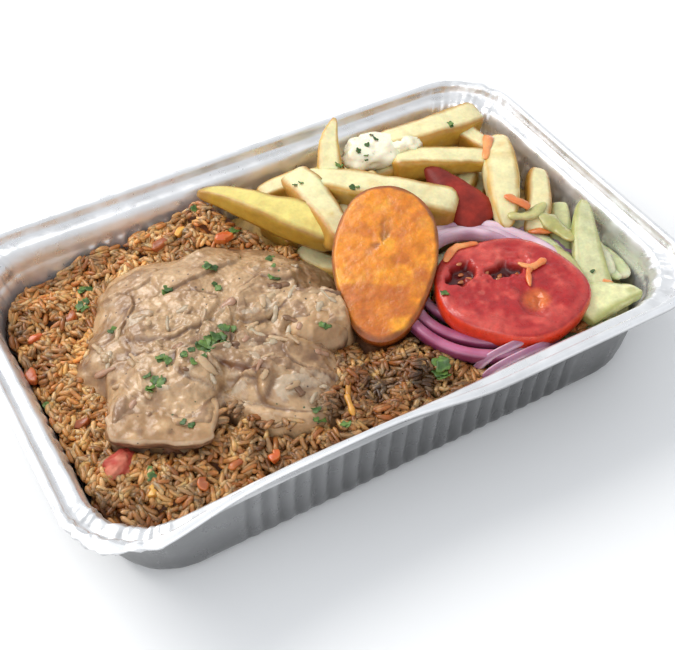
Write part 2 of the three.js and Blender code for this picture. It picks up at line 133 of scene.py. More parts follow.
# ---- Materials ----
class Material:
    """A principled material with layers of colour over the points' tint, and of relief."""

    def __init__(self, name, roughness, subsurface=(), coat=(), specular=0.5, metallic=0.0):
        self.name, self.data = name, bpy.data.materials.new(name)
        self.data.use_nodes = True
        self.nodes = self.data.node_tree.nodes
        self.shader = self.nodes["Principled BSDF"].inputs
        values = [("Roughness", roughness), ("Specular IOR Level", specular), ("Metallic", metallic)]
        values += zip(("Subsurface Weight", "Subsurface Scale", "Subsurface Radius"), subsurface)
        values += zip(("Coat Weight", "Coat Roughness"), coat)
        for socket, value in values:
            self.shader[socket].default_value = value
        self.where = self.node("TexCoord").outputs["Object"]
        self.paint(self.node("Attribute", attribute_name="tint").outputs["Color"])
        self.bumps = {}

    def node(self, kind, inputs=(), **settings):
        """A new node with its settings made and its inputs linked or set."""
        made = self.nodes.new("ShaderNode" + kind)
        for key, value in settings.items():
            setattr(made, key, value)
        for socket, value in dict(inputs).items():
            self.feed(made.inputs[socket], value)
        return made

    def feed(self, socket, value):
        """Link an output to a socket, or set its number, vector or colour."""
        if isinstance(value, bpy.types.NodeSocket):
            self.data.node_tree.links.new(value, socket)
        elif np.ndim(value):
            socket.default_value = (*value, 1)[:len(socket.default_value)]
        else:
            socket.default_value = value

    def paint(self, colour):
        self.colour = colour
        self.feed(self.shader["Base Color"], colour)
        return self

    def texture(self, size, kind="noise", stretch=None):
        """Noise or cells of about that many millimetres across."""
        where = self.where
        if stretch:
            where = self.node("VectorMath", {0: where, 1: stretch}, operation="MULTIPLY").outputs[0]
        inputs = {"Vector": where, "Scale": 1 / (size * MM)}
        if kind == "noise":
            return self.node("TexNoise", {**inputs, "Detail": 3}).outputs
        return self.node("TexVoronoi", inputs, feature=kind).outputs

    def ramp(self, value, *stops):
        """Grey that runs between two levels, each with the value where it is reached."""
        made = self.node("ValToRGB", {"Fac": value})
        for element, (place, level) in zip(made.color_ramp.elements, stops):
            element.position, element.color = place, (level, level, level, 1)
        return made.outputs["Color"]

    def blend(self, mask, a, b, how="MIX"):
        inputs = {"Factor": mask, 6: a, 7: b}
        return self.node("Mix", inputs, data_type="RGBA", blend_type=how).outputs[2]

    def vary(self, size, dark, pale, stretch=None):
        """Multiply the colour by noise that runs from dark to pale."""
        shade = self.ramp(self.texture(size, stretch=stretch)["Fac"], (0.3, dark), (0.7, pale))
        return self.paint(self.blend(1.0, self.colour, shade, "MULTIPLY"))

    def patches(self, size, colour, start, full, strength):
        """Blend another colour in where noise passes a level."""
        mask = self.ramp(self.texture(size)["Fac"], (start, 0.0), (full, strength))
        return self.paint(self.blend(mask, self.colour, light(colour)))

    def specks(self, size, colour, radius):
        """Scattered dots: the middles of some cells."""
        cells = self.texture(size, "F1")
        dot = self.ramp(cells["Distance"], (radius * 0.6, 1.0), (radius, 0.0))
        chosen = self.ramp(cells["Color"], (0.55, 0.0), (0.6, 1.0))
        mask = self.blend(1.0, dot, chosen, "MULTIPLY")
        return self.paint(self.blend(mask, self.colour, light(colour)))

    def relief(self, size, depth, kind="noise"):
        """Bump of about that many millimetres in height, over any that is there."""
        source = self.texture(size, kind)["Fac" if kind == "noise" else "Distance"]
        inputs = {"Distance": depth * MM, "Strength": 1.0, "Height": source, **self.bumps}
        self.bumps = {"Normal": self.node("Bump", inputs).outputs["Normal"]}
        self.feed(self.shader["Normal"], self.bumps["Normal"])
        return self

    def rough(self, size, low, high):
        shade = self.ramp(self.texture(size)["Fac"], (0.35, low), (0.65, high))
        self.feed(self.shader["Roughness"], shade)
        return self


LOOKS = {made.name: made.data for made in (
    Material("foil", 0.32, metallic=0.72).vary(12, 0.92, 1.04).rough(6, 0.24, 0.44)
    .relief(9, 0.08, "F1").relief(3.2, 0.03, "F1").relief(0.9, 0.015),
    Material("heap_core", 0.6).vary(3, 0.6, 1.2).relief(2, 0.5),
    # The cooked rice's 6 mm noise, from 0.52 to 1.24, is painted shade and light between clumps of grains.
    Material("cooked_rice", 0.34, (0.6, 0.003, (1.0, 0.7, 0.5)), specular=0.45)
    .vary(2.2, 0.88, 1.1).vary(6, 0.52, 1.24).patches(9, (176, 96, 38), 0.52, 0.72, 0.5)
    .patches(5, (238, 186, 116), 0.54, 0.7, 0.5).relief(0.9, 0.06),
    Material("cream_sauce", 0.36, (0.2, 0.0015, (1.0, 0.5, 0.3)), (0.35, 0.16), 0.45)
    .vary(4.5, 0.88, 1.06).vary(1.1, 0.9, 1.07)
    # The pale cream patches are painted highlights as well as paler cream.
    .patches(4.5, (210, 182, 148), 0.56, 0.7, 0.55).patches(3.2, (132, 92, 62), 0.6, 0.74, 0.5)
    .specks(3.4, (70, 55, 45), 0.13).specks(5.2, (60, 84, 44), 0.09)
    .rough(3, 0.28, 0.5).relief(1.6, 0.22).relief(0.6, 0.06),
    Material("saucy_beef", 0.4, (0.12, 0.001), (0.2, 0.15), 0.4)
    .vary(3.0, 0.86, 1.08).specks(3.0, (66, 52, 44), 0.1)
    .rough(4, 0.28, 0.5).relief(1.8, 0.25).relief(0.6, 0.05),
    Material("fried_plantain", 0.42, (0.25, 0.002), (0.15, 0.3))
    .vary(2.4, 0.84, 1.1).vary(0.8, 0.92, 1.06).patches(5, (170, 84, 24), 0.5, 0.75, 0.6)
    .rough(3, 0.32, 0.55).relief(1.6, 0.3).relief(0.5, 0.06),
    Material("fried_chip", 0.46, (0.3, 0.002), (0.1, 0.3))
    .vary(5, 0.88, 1.08).vary(1.2, 0.94, 1.05)
    .rough(4, 0.36, 0.55).relief(2.2, 0.18).relief(0.6, 0.05),
    Material("tomato_flesh", 0.34, (0.2, 0.0015), (0.25, 0.12), 0.4)
    .vary(2.4, 0.84, 1.12).vary(0.7, 0.92, 1.08)
    .rough(3, 0.24, 0.46).relief(1.7, 0.2).relief(0.5, 0.05),
    Material("tomato_seed", 0.3, coat=(0.4, 0.1)).vary(1.0, 0.85, 1.1),
    Material("red_wedge", 0.55, specular=0.3).vary(2.5, 0.8, 1.15).relief(1.5, 0.2),
    Material("onion_flesh", 0.36, (0.3, 0.0015), (0.15, 0.2))
    .vary(3, 0.88, 1.08, (0.5, 0.5, 3)).relief(1.0, 0.06),
    Material("salad_flesh", 0.36, (0.3, 0.002), (0.25, 0.15))
    .vary(3, 0.85, 1.1).vary(0.9, 0.94, 1.06).relief(1.4, 0.1).relief(0.5, 0.04),
    Material("garlic_cream", 0.35, (0.3, 0.002), (0.3, 0.15))
    .patches(2.6, (120, 136, 92), 0.62, 0.74, 0.55).relief(2.2, 0.25),
    Material("parsley", 0.5, (0.1, 0.001)).vary(1.2, 0.7, 1.25).relief(0.7, 0.08),
)}


# ---- Meshes ----
def show(name, data):
    made = bpy.data.objects.new(name, data)
    bpy.context.scene.collection.objects.link(made)
    return made


def grid_faces(rows, columns, around=False):
    """Quads over a grid of points whose rows may close on themselves."""
    r = np.arange(rows - 1)[:, None] * columns
    c = np.arange(columns if around else columns - 1)
    d = (c + 1) % columns
    return np.stack([r + c, r + d, r + columns + d, r + columns + c], -1).reshape(-1, 4)


class Piece:
    """Collects closed shapes, with a colour at each point, into one object."""

    def __init__(self):
        self.points, self.faces, self.tints, self.count = [], [], [], 0

    def add(self, points, faces, tint):
        self.points.append(np.reshape(points, (-1, 3)))
        self.tints.append(np.reshape(tint, (-1, 3)))
        self.faces += [f + self.count for f in faces]
        self.count += len(self.points[-1])
        return self

    def rows(self, rows, tint):
        """A closed skin through rings of points, with a point at each end."""
        rows = np.asarray(rows, float)
        n, m = rows.shape[:2]
        tint = np.broadcast_to(light(tint), rows.shape)
        points, tints = (np.concatenate([part.reshape(-1, 3), [part[0].mean(0), part[-1].mean(0)]])
                         for part in (rows, tint))
        c, last = np.arange(m), n * m
        d = (c + 1) % m
        low = np.stack([np.full(m, last), d, c], -1)
        high = np.stack([np.full(m, last + 1), last - m + c, last - m + d], -1)
        return self.add(points, [grid_faces(n, m, True), low, high], tints)

    def rings(self, rings, *place):
        """A closed skin through rings that each come with a tint, put in its place."""
        points, tints = zip(*((ring, np.broadcast_to(light(tint), ring.shape)) for ring, tint in rings))
        return self.rows(placed(points, *place), np.array(tints))

    def object(self, name, look, slot, *nodes):
        """The finished piece, which stands for the CAD nodes named."""
        mesh = bpy.data.meshes.new(name)
        faces = [face for part in self.faces for face in part.tolist()]
        mesh.from_pydata((np.concatenate(self.points) * MM).tolist(), [], faces, shade_flat=False)
        mesh.validate()
        layer = mesh.color_attributes.new("tint", "FLOAT_COLOR", "POINT")
        tints = np.insert(np.concatenate(self.tints), 3, 1, axis=1)
        layer.data.foreach_set("color", tints.astype(np.float32).ravel())
        mesh.materials.append(LOOKS[look])
        piece = show(name, mesh)
        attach(piece, "root")
        if nodes:
            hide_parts(*nodes)
        return piece


def turn(heading=0.0, pitch=0.0, roll=0.0):
    """Roll about X, lift the +X end by the pitch, then turn to the heading."""
    m = (Matrix.Rotation(rad(heading), 3, "Z") @ Matrix.Rotation(rad(-pitch), 3, "Y")
         @ Matrix.Rotation(rad(roll), 3, "X"))
    return np.array(m)


def placed(points, at, heading=0.0, pitch=0.0, roll=0.0):
    return np.asarray(points) @ turn(heading, pitch, roll).T + np.array(at, float)


def ring_section(around, square):
    """Points round a unit section: a circle at 2, and squarer above."""
    c, s = np.cos(circle(around)), np.sin(circle(around))
    k = (np.abs(c) ** square + np.abs(s) ** square) ** (-1 / square)
    return c * k, s * k


def sweep(path, width, height, around=12, square=2.0):
    """Rings of a section carried along a path; width and height are full sizes along it."""
    along = np.gradient(path, axis=0)
    along /= np.linalg.norm(along, axis=1, keepdims=True)
    side = np.cross((0, 0, 1), along)
    side /= np.linalg.norm(side, axis=1, keepdims=True)
    over = np.cross(along, side)
    c, s = ring_section(around, square)
    w, h = (np.broadcast_to(size, len(path))[:, None, None] / 2 for size in (width, height))
    return path[:, None] + side[:, None] * c[:, None] * w + over[:, None] * s[:, None] * h


def rounded_ends(n, blunt, least):
    """The share of its full width that a stick has along its length."""
    return np.maximum((1 - np.abs(np.linspace(-1, 1, n)) ** blunt) ** (1 / 2.2), least)


# ---- Heights of what is already in the tray ----
class Heights:
    """The highest surface so far, on a grid over the tray."""

    step = 0.5

    def __init__(self):
        self.x, self.y = (np.arange(-half, half + self.step, self.step) for half in (110.0, 70.0))
        self.z = np.zeros((len(self.x), len(self.y)))

    def index(self, x, y):
        return tuple(np.clip(np.rint((v - axis[0]) / self.step).astype(int), 0, len(axis) - 1)
                     for v, axis in ((x, self.x), (y, self.y)))

    def at(self, x, y):
        return self.z[self.index(np.asarray(x, float), np.asarray(y, float))]

    def cover(self, piece):
        """Raise the map to the top of a finished piece."""
        co = np.array([v.co[:] for v in piece.data.vertices])
        tree = BVHTree.FromPolygons(co.tolist(), [p.vertices[:] for p in piece.data.polygons])
        (i0, j0), (i1, j1) = (self.index(*edge[:2] / MM) for edge in (co.min(0), co.max(0)))
        for i, j in itertools.product(range(i0, i1 + 1), range(j0, j1 + 1)):
            hit = tree.ray_cast(Vector((self.x[i] * MM, self.y[j] * MM, 0.1)), Vector((0, 0, -1)))[0]
            if hit is not None:
                self.z[i, j] = max(self.z[i, j], hit.z / MM)

    def lay(self, x, y, heading, length, width, thick, steepest=0.7, fill=0.0, ceiling=None):
        """Height and slope at which a stick laid down at (x, y) touches what is under it,
        with the map raised to the stick's own top; or None if it would stand over the ceiling
        or drop far below it."""
        c, s = math.cos(heading), math.sin(heading)
        a = np.linspace(-0.46, 0.46, 9) * length
        b = np.array([-0.3, 0, 0.3]) * width
        under = self.at(x + c * a[:, None] - s * b, y + s * a[:, None] + c * b).max(1)
        body = np.sqrt(1 - (2 * a / length) ** 2 * 0.9)
        slopes = np.linspace(-steepest, steepest, 29)
        lift = (under + thick / 2 * body - slopes[:, None] * a).max(1)
        k = int(np.argmin(lift + 0.6 * np.abs(slopes)))
        z, slope = lift[k] - fill, slopes[k]
        if ceiling is not None and not ceiling - 9 < z + thick / 2 < ceiling:
            return None
        r = length / 2 + self.step
        (i0, j0), (i1, j1) = self.index(x - r, y - r), self.index(x + r, y + r)
        gx, gy = self.x[i0:i1 + 1, None] - x, self.y[None, j0:j1 + 1] - y
        u, v = (c * gx + s * gy) / (length / 2), (c * gy - s * gx) / (width / 2)
        room = 1 - u**2 - v**2
        top = z + slope * u * length / 2 + thick / 2 * np.sqrt(np.maximum(room, 0))
        patch = self.z[i0:i1 + 1, j0:j1 + 1]
        np.maximum(patch, np.where(room > 0, top, 0), out=patch)
        return z, slope


# ---- Foil tray ----
LENGTH, WIDTH = 225.0, 144.0
LEDGE_Z = 39.3
FLUTE = {"pitch": 5.7, "depth": 0.55, "long_half": 62.7, "short_half": 27.0}
BOW = {"x": -36.0, "spread": 44.0, "wall": 0.5, "inner": 2.2, "outer": 4.3, "lift": 0.5}

# The section, up the inside, over the rolled lip and down the outside: inset from the rim's
# edge, height, plan radius at the corners, how fluted, how crinkled, the side that leads
# (1 inside, -1 outside, so both skins move together), and the steps to the next row.
SECTION = [
    (58, 0.5, 8, 0, 0.3, 1, 2), (30, 0.5, 16, 0, 0.3, 1, 2), (18.6, 0.6, 21, 0, 0.4, 1, 3),
    (15.4, 2.0, 22, 0.2, 0.6, 1, 3), (13.6, 6.0, 22.6, 1, 0.6, 1, 8),
    (11.1, 30.4, 22.6, 1, 0.6, 1, 3), (10.4, 32.0, 22.4, 0.1, 0.8, 1, 3),
    (10.3, 34.6, 22, 0, 1, 1, 4), (9.3, 37.6, 21.8, 0, 1, 1, 2), (8.3, 39.1, 21.7, 0, 0.8, 1, 2),
    (7.4, 39.3, 22.5, 0, 0.8, 1, 4), (4.3, 39.2, 24, 0, 0.6, 1, 2), (3.6, 39.8, 24.2, 0, 0.4, 1, 3),
    (3.1, 42.4, 24.4, 0, 0.4, 1, 2), (2.5, 43.3, 24.6, 0, 0.3, 1, 3), (1.2, 43.4, 25, 0, 0.3, 1, 3),
    (0.2, 42.5, 25.3, 0, 0.3, 1, 3), (0.1, 41.0, 25.4, 0, 0.2, 1, 2), (0.9, 40.1, 25, 0, 0, 1, 2),
    (2.2, 40.0, 24.6, 0, 0, -1, 2), (3.9, 39.0, 24.2, 0, 0.3, -1, 3),
    (8.2, 38.8, 22, 0, 0.7, -1, 2), (9.2, 37.2, 21.8, 0, 1, -1, 4), (9.9, 34.4, 22, 0, 1, -1, 3),
    (10.0, 32.0, 22.4, 0.1, 0.8, -1, 3), (10.6, 30.4, 22.6, 1, 0.6, -1, 8),
    (13.1, 6.0, 22.6, 1, 0.6, -1, 3), (14.6, 2.2, 22.4, 0.3, 0.6, -1, 3),
    (17.6, 0.3, 21.4, 0, 0.4, -1, 3), (30, 0.0, 16, 0, 0.2, -1, 2), (58, 0.0, 8, 0, 0.2, -1, 1),
]


def section_rows():
    """The section's rows with their steps filled in and their bends softened."""
    keys = np.array(SECTION)
    rows = [a + (b - a) * k / a[6] for a, b in zip(keys, keys[1:]) for k in range(int(a[6]))]
    rows = np.array(rows + [keys[-1]])
    soft = rows.copy()
    soft[1:-1, :3] = 0.25 * rows[:-2, :3] + 0.5 * rows[1:-1, :3] + 0.25 * rows[2:, :3]
    return soft


def outline(insets, radii):
    """Points and outward directions of rounded rectangles, the place along a straight side
    (far off it at the corners), and how near the middle of a corner each point is (0 to 1)."""
    insets, radii = insets[:, None], radii[:, None]
    hx, hy = LENGTH / 2 - insets, WIDTH / 2 - insets
    parts = []
    for side, (c, s) in enumerate([(1, 0), (0, 1), (-1, 0), (0, -1)]):
        across, half = (hy, hx - radii) if side % 2 else (hx, hy - radii)
        t = np.linspace(-1, 1, 240 if side % 2 else 136, endpoint=False)
        parts.append((c * across - s * t * half, s * across + c * t * half, c, s, t * half, 0))
        bend = np.linspace(0, 1, 52, endpoint=False)
        nx, ny = np.cos((side + bend) * TAU / 4), np.sin((side + bend) * TAU / 4)
        parts.append(((c - s) * (hx - radii) + radii * nx, (s + c) * (hy - radii) + radii * ny,
                      nx, ny, 1000, np.sin(bend * math.pi)))
    return [np.concatenate(column, 1) for column in zip(*(np.broadcast_arrays(*p) for p in parts))]


def outside_painted_shade(x, z, ny):
    """Painted shade and painted dark reflection on the outside: darker than the rest, more so lower down,
    and less so to the front left, where the lamps light it more.
    """
    painted_darkness = 0.13 + 0.08 * smooth(3, 24, z) + 0.2 * smooth(25, 39, z) + 0.5 * smooth(41.2, 42.8, z)
    return painted_darkness * (1 + 0.45 * smooth(-5, -60, x) * (ny < 0))


def make_tray():
    rows = section_rows()
    inset, z, radius, flute, crinkle, lead = rows[:, :6].T
    x, y, nx, ny, place, corner = outline(inset, radius)
    z, flute, crinkle, lead = (np.broadcast_to(part[:, None], x.shape)
                               for part in (z, flute, crinkle, lead))
    step = np.gradient(rows[:, :2], axis=0)
    step /= np.linalg.norm(step, axis=1, keepdims=True) + 1e-9
    # Flutes along the straight sides, fading towards the corners.
    limit = np.where(np.abs(nx) > np.abs(ny), FLUTE["short_half"], FLUTE["long_half"])
    window = 1 - smooth(limit - 3, limit + 2, np.abs(place))
    wave = np.cos(TAU * place / FLUTE["pitch"])
    # Dents, creases, and the gathers of foil at the corners, most of all at the front left.
    at = plane(x, y, z)
    near = smooth(0.0, 0.7, corner)
    gather = np.abs(noise(plane(np.arctan2(ny, nx) * 9.0, z / 30), 0.42, 5)) - 0.35
    pleats = 0.9 * gather * near * smooth(3, 30, z)
    creases = 0.5 - np.abs(noise(at, 7.5, 11)) - 0.5 * np.abs(noise(at, 3.4, 12))
    dents = 0.30 * noise(at, 38, 13) * smooth(0, 8, z) * (z < 39)
    field = crinkle * (creases * (0.16 + 0.8 * near) + pleats) + dents
    torn = near * (1 + 1.3 * (x < -60) * (y < -30))
    crumple = 0.45 * noise(at * (1, 1, 0.3), 3.2, 14) + 0.25 * noise(at, 1.4, 18)
    move = (field + crumple * torn * smooth(LEDGE_Z - 1, 41, z)) * lead
    out = FLUTE["depth"] * wave * window * flute - step[:, 1, None] * move
    x, y, z = x + nx * out, y + ny * out, z - step[:, 0, None] * move
    # The whole rim wavers a little, and the front lip bows in over the ledge.
    z = z + 0.35 * noise(plane(x, y), 55, 15) * smooth(20, 40, z)
    front = (ny < -0.5) * np.exp(-(((x - BOW["x"]) / BOW["spread"]) ** 4))
    over = smooth(LEDGE_Z - 0.4, LEDGE_Z + 1, z)
    pressed = BOW["inner"] + (BOW["outer"] - BOW["inner"]) * smooth(4, 0, inset)[:, None]
    y = y + front * (BOW["wall"] * smooth(0, 10, z) + pressed * over)
    z = np.maximum(z + BOW["lift"] * front * over, 0)
    bright = 0.87 + 0.07 * noise(at, 16, 17) + 0.09 * torn * noise(at, 3, 19)
    # Painted shade along the flutes of the outside wall, over tone that differs at random.
    flute_shade_and_tone = 0.16 * wave * window * (flute > 0.5) + 0.1 * noise(at, 24, 16)
    outside = (np.arange(len(rows)) > np.argmax(rows[:, 1]))[:, None]
    tone = np.where(outside, outside_painted_shade(x, z, ny) * (1 + flute_shade_and_tone), bright)
    whole = Piece().rows(plane(x, y, z), tone[..., None] * (0.985, 0.99, 1.0))
    whole.object("tray", "foil", "foil", "foil_tray")


# ---- Room inside the tray ----
# The wall's inset from the rim's edge at the floor and at the bend over it, that bend's height,
# how much the wall leans out above it, what the flutes take up, and the corners' radius.
WALL = {"foot": 18, "bend": 12.9, "bend_z": 6, "lean": 0.1, "flutes": 1.4, "radius": 22.6}


def inside_tray(x, y, z, margin):
    """Whether a point lies within the walls by more than a margin."""
    above = z - WALL["bend_z"]
    foot = WALL["bend"] - (WALL["foot"] - WALL["bend"]) * above / WALL["bend_z"]
    inset = np.where(above < 0, foot, WALL["bend"] - WALL["lean"] * np.maximum(above, 0))
    inset, r = inset + WALL["flutes"] + margin, WALL["radius"]
    dx = np.abs(x) - (LENGTH / 2 - inset - r)
    dy = np.abs(y) - (WIDTH / 2 - inset - r)
    return np.where((dx > 0) & (dy > 0), np.hypot(dx, dy), np.maximum(dx, dy)) < r


def rice_edge(y):
    return 13 - 0.47 * y


def salad_edge(x):
    return 3 - 0.05 * x


def in_rice(x, y, z, margin=0.0, gap=0.0):
    return inside_tray(x, y, z, margin) & (x < rice_edge(y) - gap)


def in_chips(x, y, z, margin=0.0, gap=0.0, front=0.0):
    return inside_tray(x, y, z, margin) & (x > rice_edge(y) + gap) & (y > salad_edge(x) + front)


def in_salad(x, y, z, margin=0.0, gap=0.0):
    return inside_tray(x, y, z, margin) & (x > rice_edge(y) + gap) & (y < salad_edge(x))


def rice_top(x, y):
    rise = hills(x, y, (-18, 56, 36, 20, 9), (-38, 0, 46, 44, 3), (8, -46, 42, 22, 4), (-74, -40, 24, 13, 3))
    lumps = 2.2 * noise(plane(x, y), 9, 33) + 1.6 * noise(plane(x, y), 4.5, 34)
    return 25 + rise + ripple(x, y, 6, 0.6) + lumps


def chips_top(x, y):
    return 31 + hills(x, y, (74, 48, 40, 26, 6), (22, 36, 26, 26, 4)) + ripple(x, y, 7, 2.2)


def salad_top(x, y):
    return 28 + ripple(x, y, 6, 1.8)


# What fills each heap under its loose pieces: room, middle, top, how far under it, colour, slot.
CORES = {
    # The rice core's dark red-brown is painted shade in the gaps between the grains.
    "rice_core": (in_rice, (-42, 0), rice_top, 1.8, (124, 74, 38), "rice"),
    "chips_core": (in_chips, (48, 30), chips_top, 9.0, (176, 140, 70), "chip"),
    "salad_core": (in_salad, (66, -30), salad_top, 6.0, (150, 146, 96), "cucumber"),
}


def make_core(name, inside, middle, top, drop, colour, slot):
    c, s = ring_section(160, 2)
    slack, floor = 1.0, 1.1

    def spread(r):
        return middle[0] + r * c, middle[1] + r * s

    def reach(z):
        """How far from the middle the room goes, at each angle."""
        low, high = 0 * c, 0 * c + LENGTH
        for _ in range(22):
            mid = (low + high) / 2
            ok = inside(*spread(mid), z)
            low, high = np.where(ok, mid, low), np.where(ok, high, mid)
        return low - slack

    edge, rows = reach(25.0), []
    for t in np.linspace(0.02, 1, 44):
        x, y = spread(edge * t)
        rows.append(plane(x, y, top(x, y) - drop + 0.9 * noise(plane(x, y), 4.5, 21)))
    rim = rows[-1][:, 2]
    for share in (0.6, 0.3, 0.0):
        z = floor + (rim - floor) * share
        rows.append(plane(*spread(np.minimum(edge, reach(z.min()))), z))
    return Piece().rows(rows, colour).object(name, "heap_core", slot)


# ---- Sticks and strips ----
def strewn(rng, tries, xs, ys, lengths, allowed):
    """Random middles, headings and lengths of sticks whose ends both lie where they may."""
    x, y = rng.uniform(*xs, tries), rng.uniform(*ys, tries)
    heading, length = rng.uniform(0, TAU, tries), rng.uniform(*lengths, tries)
    dx, dy = 0.5 * length * np.cos(heading), 0.5 * length * np.sin(heading)
    ok = allowed(x + dx, y + dy) & allowed(x - dx, y - dy)
    return np.stack([x, y, heading, length], 1)[ok]


def strip(piece, points, width, thick, colours, seed, n=22, around=10):
    """A thin strip along a smooth line through a few points."""
    points = np.asarray(points, float)
    u = np.linspace(0, len(points) - 1, n)
    k = np.clip(u.astype(int), 0, len(points) - 2)
    f = (u - k)[:, None]
    before, p, q, after = (points[np.clip(k + d, 0, len(points) - 1)] for d in (-1, 0, 1, 2))
    path = 0.5 * (2 * p + (q - before) * f + (2 * before - 5 * p + 4 * q - after) * f**2
                  + (3 * p - before - 3 * q + after) * f**3)
    t = np.linspace(-1, 1, n)
    keep = rounded_ends(n, 3.2, 0.2) * (1 + 0.3 * noise(plane(t * 4, seed), 1.6, seed))
    keep = keep * (1 + 0.3 * t * math.sin(seed * 2.3))
    rows = sweep(path, width * keep, thick * keep, around, 3.0)
    rows = rows + 0.16 * noise(rows, 1.8, seed)[..., None]
    piece.rows(rows, mix(*colours, smooth(-0.5, 0.5, noise(rows, 5, seed + 3))))


def lying_strip(piece, middle, heading, slope, length, bend, width, thick, colours, seed,
                lift=0.0, **counts):
    """A strip about its middle, bent sideways or up."""
    along = 0.5 * length * np.array([math.cos(heading), math.sin(heading), slope])
    middle = np.array(middle)
    bow = bend * np.array([-along[1], along[0], 0]) + (0, 0, lift)
    strip(piece, [middle - along, middle + bow, middle + along], width, thick, colours, seed, **counts)


def soft_stick(piece, at, heading, pitch, size, bow, taper, seed, gold, colours, blunt=18.0):
    """A cut stick, squarish in section; its sides are darker and more golden than its flat faces, partly the
    stick's own colour and partly painted shade.
    """
    length, width, thick = size
    n, m, square = 34, 24, 6.5
    t = np.linspace(-0.5, 0.5, n)
    keep = (1 - taper * (t + 0.5) ** 2) * (1 + 0.06 * np.sin(5 * t + seed))
    keep = keep * rounded_ends(n, blunt, min(0.55, blunt / 12))
    arch = 1 - 4 * t * t
    curve = length * 0.035 * math.cos(seed * 2.7)
    rows = sweep(plane(t * length, 0.6 * np.sin(t * 5 + seed) + curve * arch, bow * arch),
                 width * keep, thick * keep, m, square)
    twist = 0.35 * math.sin(seed * 1.9) * (2 * t[:, None])
    x, y, z = np.moveaxis(rows, -1, 0)
    rows = plane(x, y * np.cos(twist) - z * np.sin(twist), z * np.cos(twist) + y * np.sin(twist))
    warp = plane(0, noise(rows, 9, seed), noise(rows, 9, seed + 5))
    rows = rows + 0.8 * warp + 0.14 * noise(rows, 1.8, seed + 1)[..., None]
    c, s = ring_section(m, square)
    # The sides are darker and more golden than the flat faces: partly the stick's own colour, partly painted
    # shade.
    side = smooth(0.7, 0.95, np.abs(c)) * (s < 0.9)
    ends = smooth(0.42, 0.5, np.abs(t))[:, None]
    edge = smooth(1.12, 1.3, np.hypot(c, s))
    fry = gold * side + 0.5 * ends + 0.45 * edge
    fry = fry + 0.4 * noise(rows, 9, seed + 2) + 0.2 * noise(rows, 2.5, seed + 3)
    pale, gold, brown = colours
    tint = layered(pale, (gold, smooth(0.1, 0.7, fry)), (brown, 0.6 * smooth(0.75, 1.3, fry)))
    piece.rows(placed(rows, at, heading, pitch), tint)


# ---- Rice ----
GRAIN_COLOURS = [(208, 148, 90), (202, 136, 72), (194, 121, 58), (224, 172, 118), (168, 102, 46)]
SAUCE = {"at": (-39.0, 3.0), "half": (45.5, 44.5), "square": 2.7}
# Where the sauce runs out further or less far than its oblong: angle, spread, share.
SAUCE_BAYS = [(20, 16, 0.05), (50, 14, -0.04), (112, 18, 0.05), (145, 13, -0.12), (170, 10, 0.05),
              (206, 14, 0.06), (250, 12, -0.22), (284, 13, 0.2), (320, 14, -0.13)]


def sauce_reach(angle):
    share = 1 + 0.02 * np.sin(angle * 7 + 0.6) + 0.02 * np.sin(angle * 11)
    for at, spread, more in SAUCE_BAYS:
        away = (np.degrees(angle) - at + 180) % 360 - 180
        share = share + more * np.exp(-((away / spread) ** 2))
    return share / oval(np.cos(angle), np.sin(angle), 0, 0, *SAUCE["half"], 0, SAUCE["square"])


def sauce_share(x, y):
    """0 at the middle of the sauce, 1 at its edge."""
    dx, dy = x - SAUCE["at"][0], y - SAUCE["at"][1]
    return np.hypot(dx, dy) / sauce_reach(np.arctan2(dy, dx))


def grain(length, width, bend, rng):
    """One cooked grain along X, as five rings: plump, blunt and slightly bent."""
    t = np.array([-0.96, -0.62, 0.05, 0.66, 0.96])[:, None]
    c, s = ring_section(6, 2.2)
    girth = (1 - np.abs(t) ** 4) ** 0.5 * (1 + 0.14 * rng.uniform(-1, 1, (5, 1))) * (1 - 0.12 * t)
    return plane(t * length / 2, girth * c * width / 2 + bend * (1 - t**2), girth * s * width * 0.44)


def coated_rice(x, y):
    """1 where the rice in front is bound with sauce and climbs onto it."""
    share = sauce_share(x, y) + 0.1 * noise(plane(x, y), 6, 36)
    along = 1 - smooth(0.8, 1.1, oval(x, y, -27, -42, 32, 22, -12))
    return smooth(0.96, 1.02, share) * (1 - smooth(1.1, 1.22, share)) * along


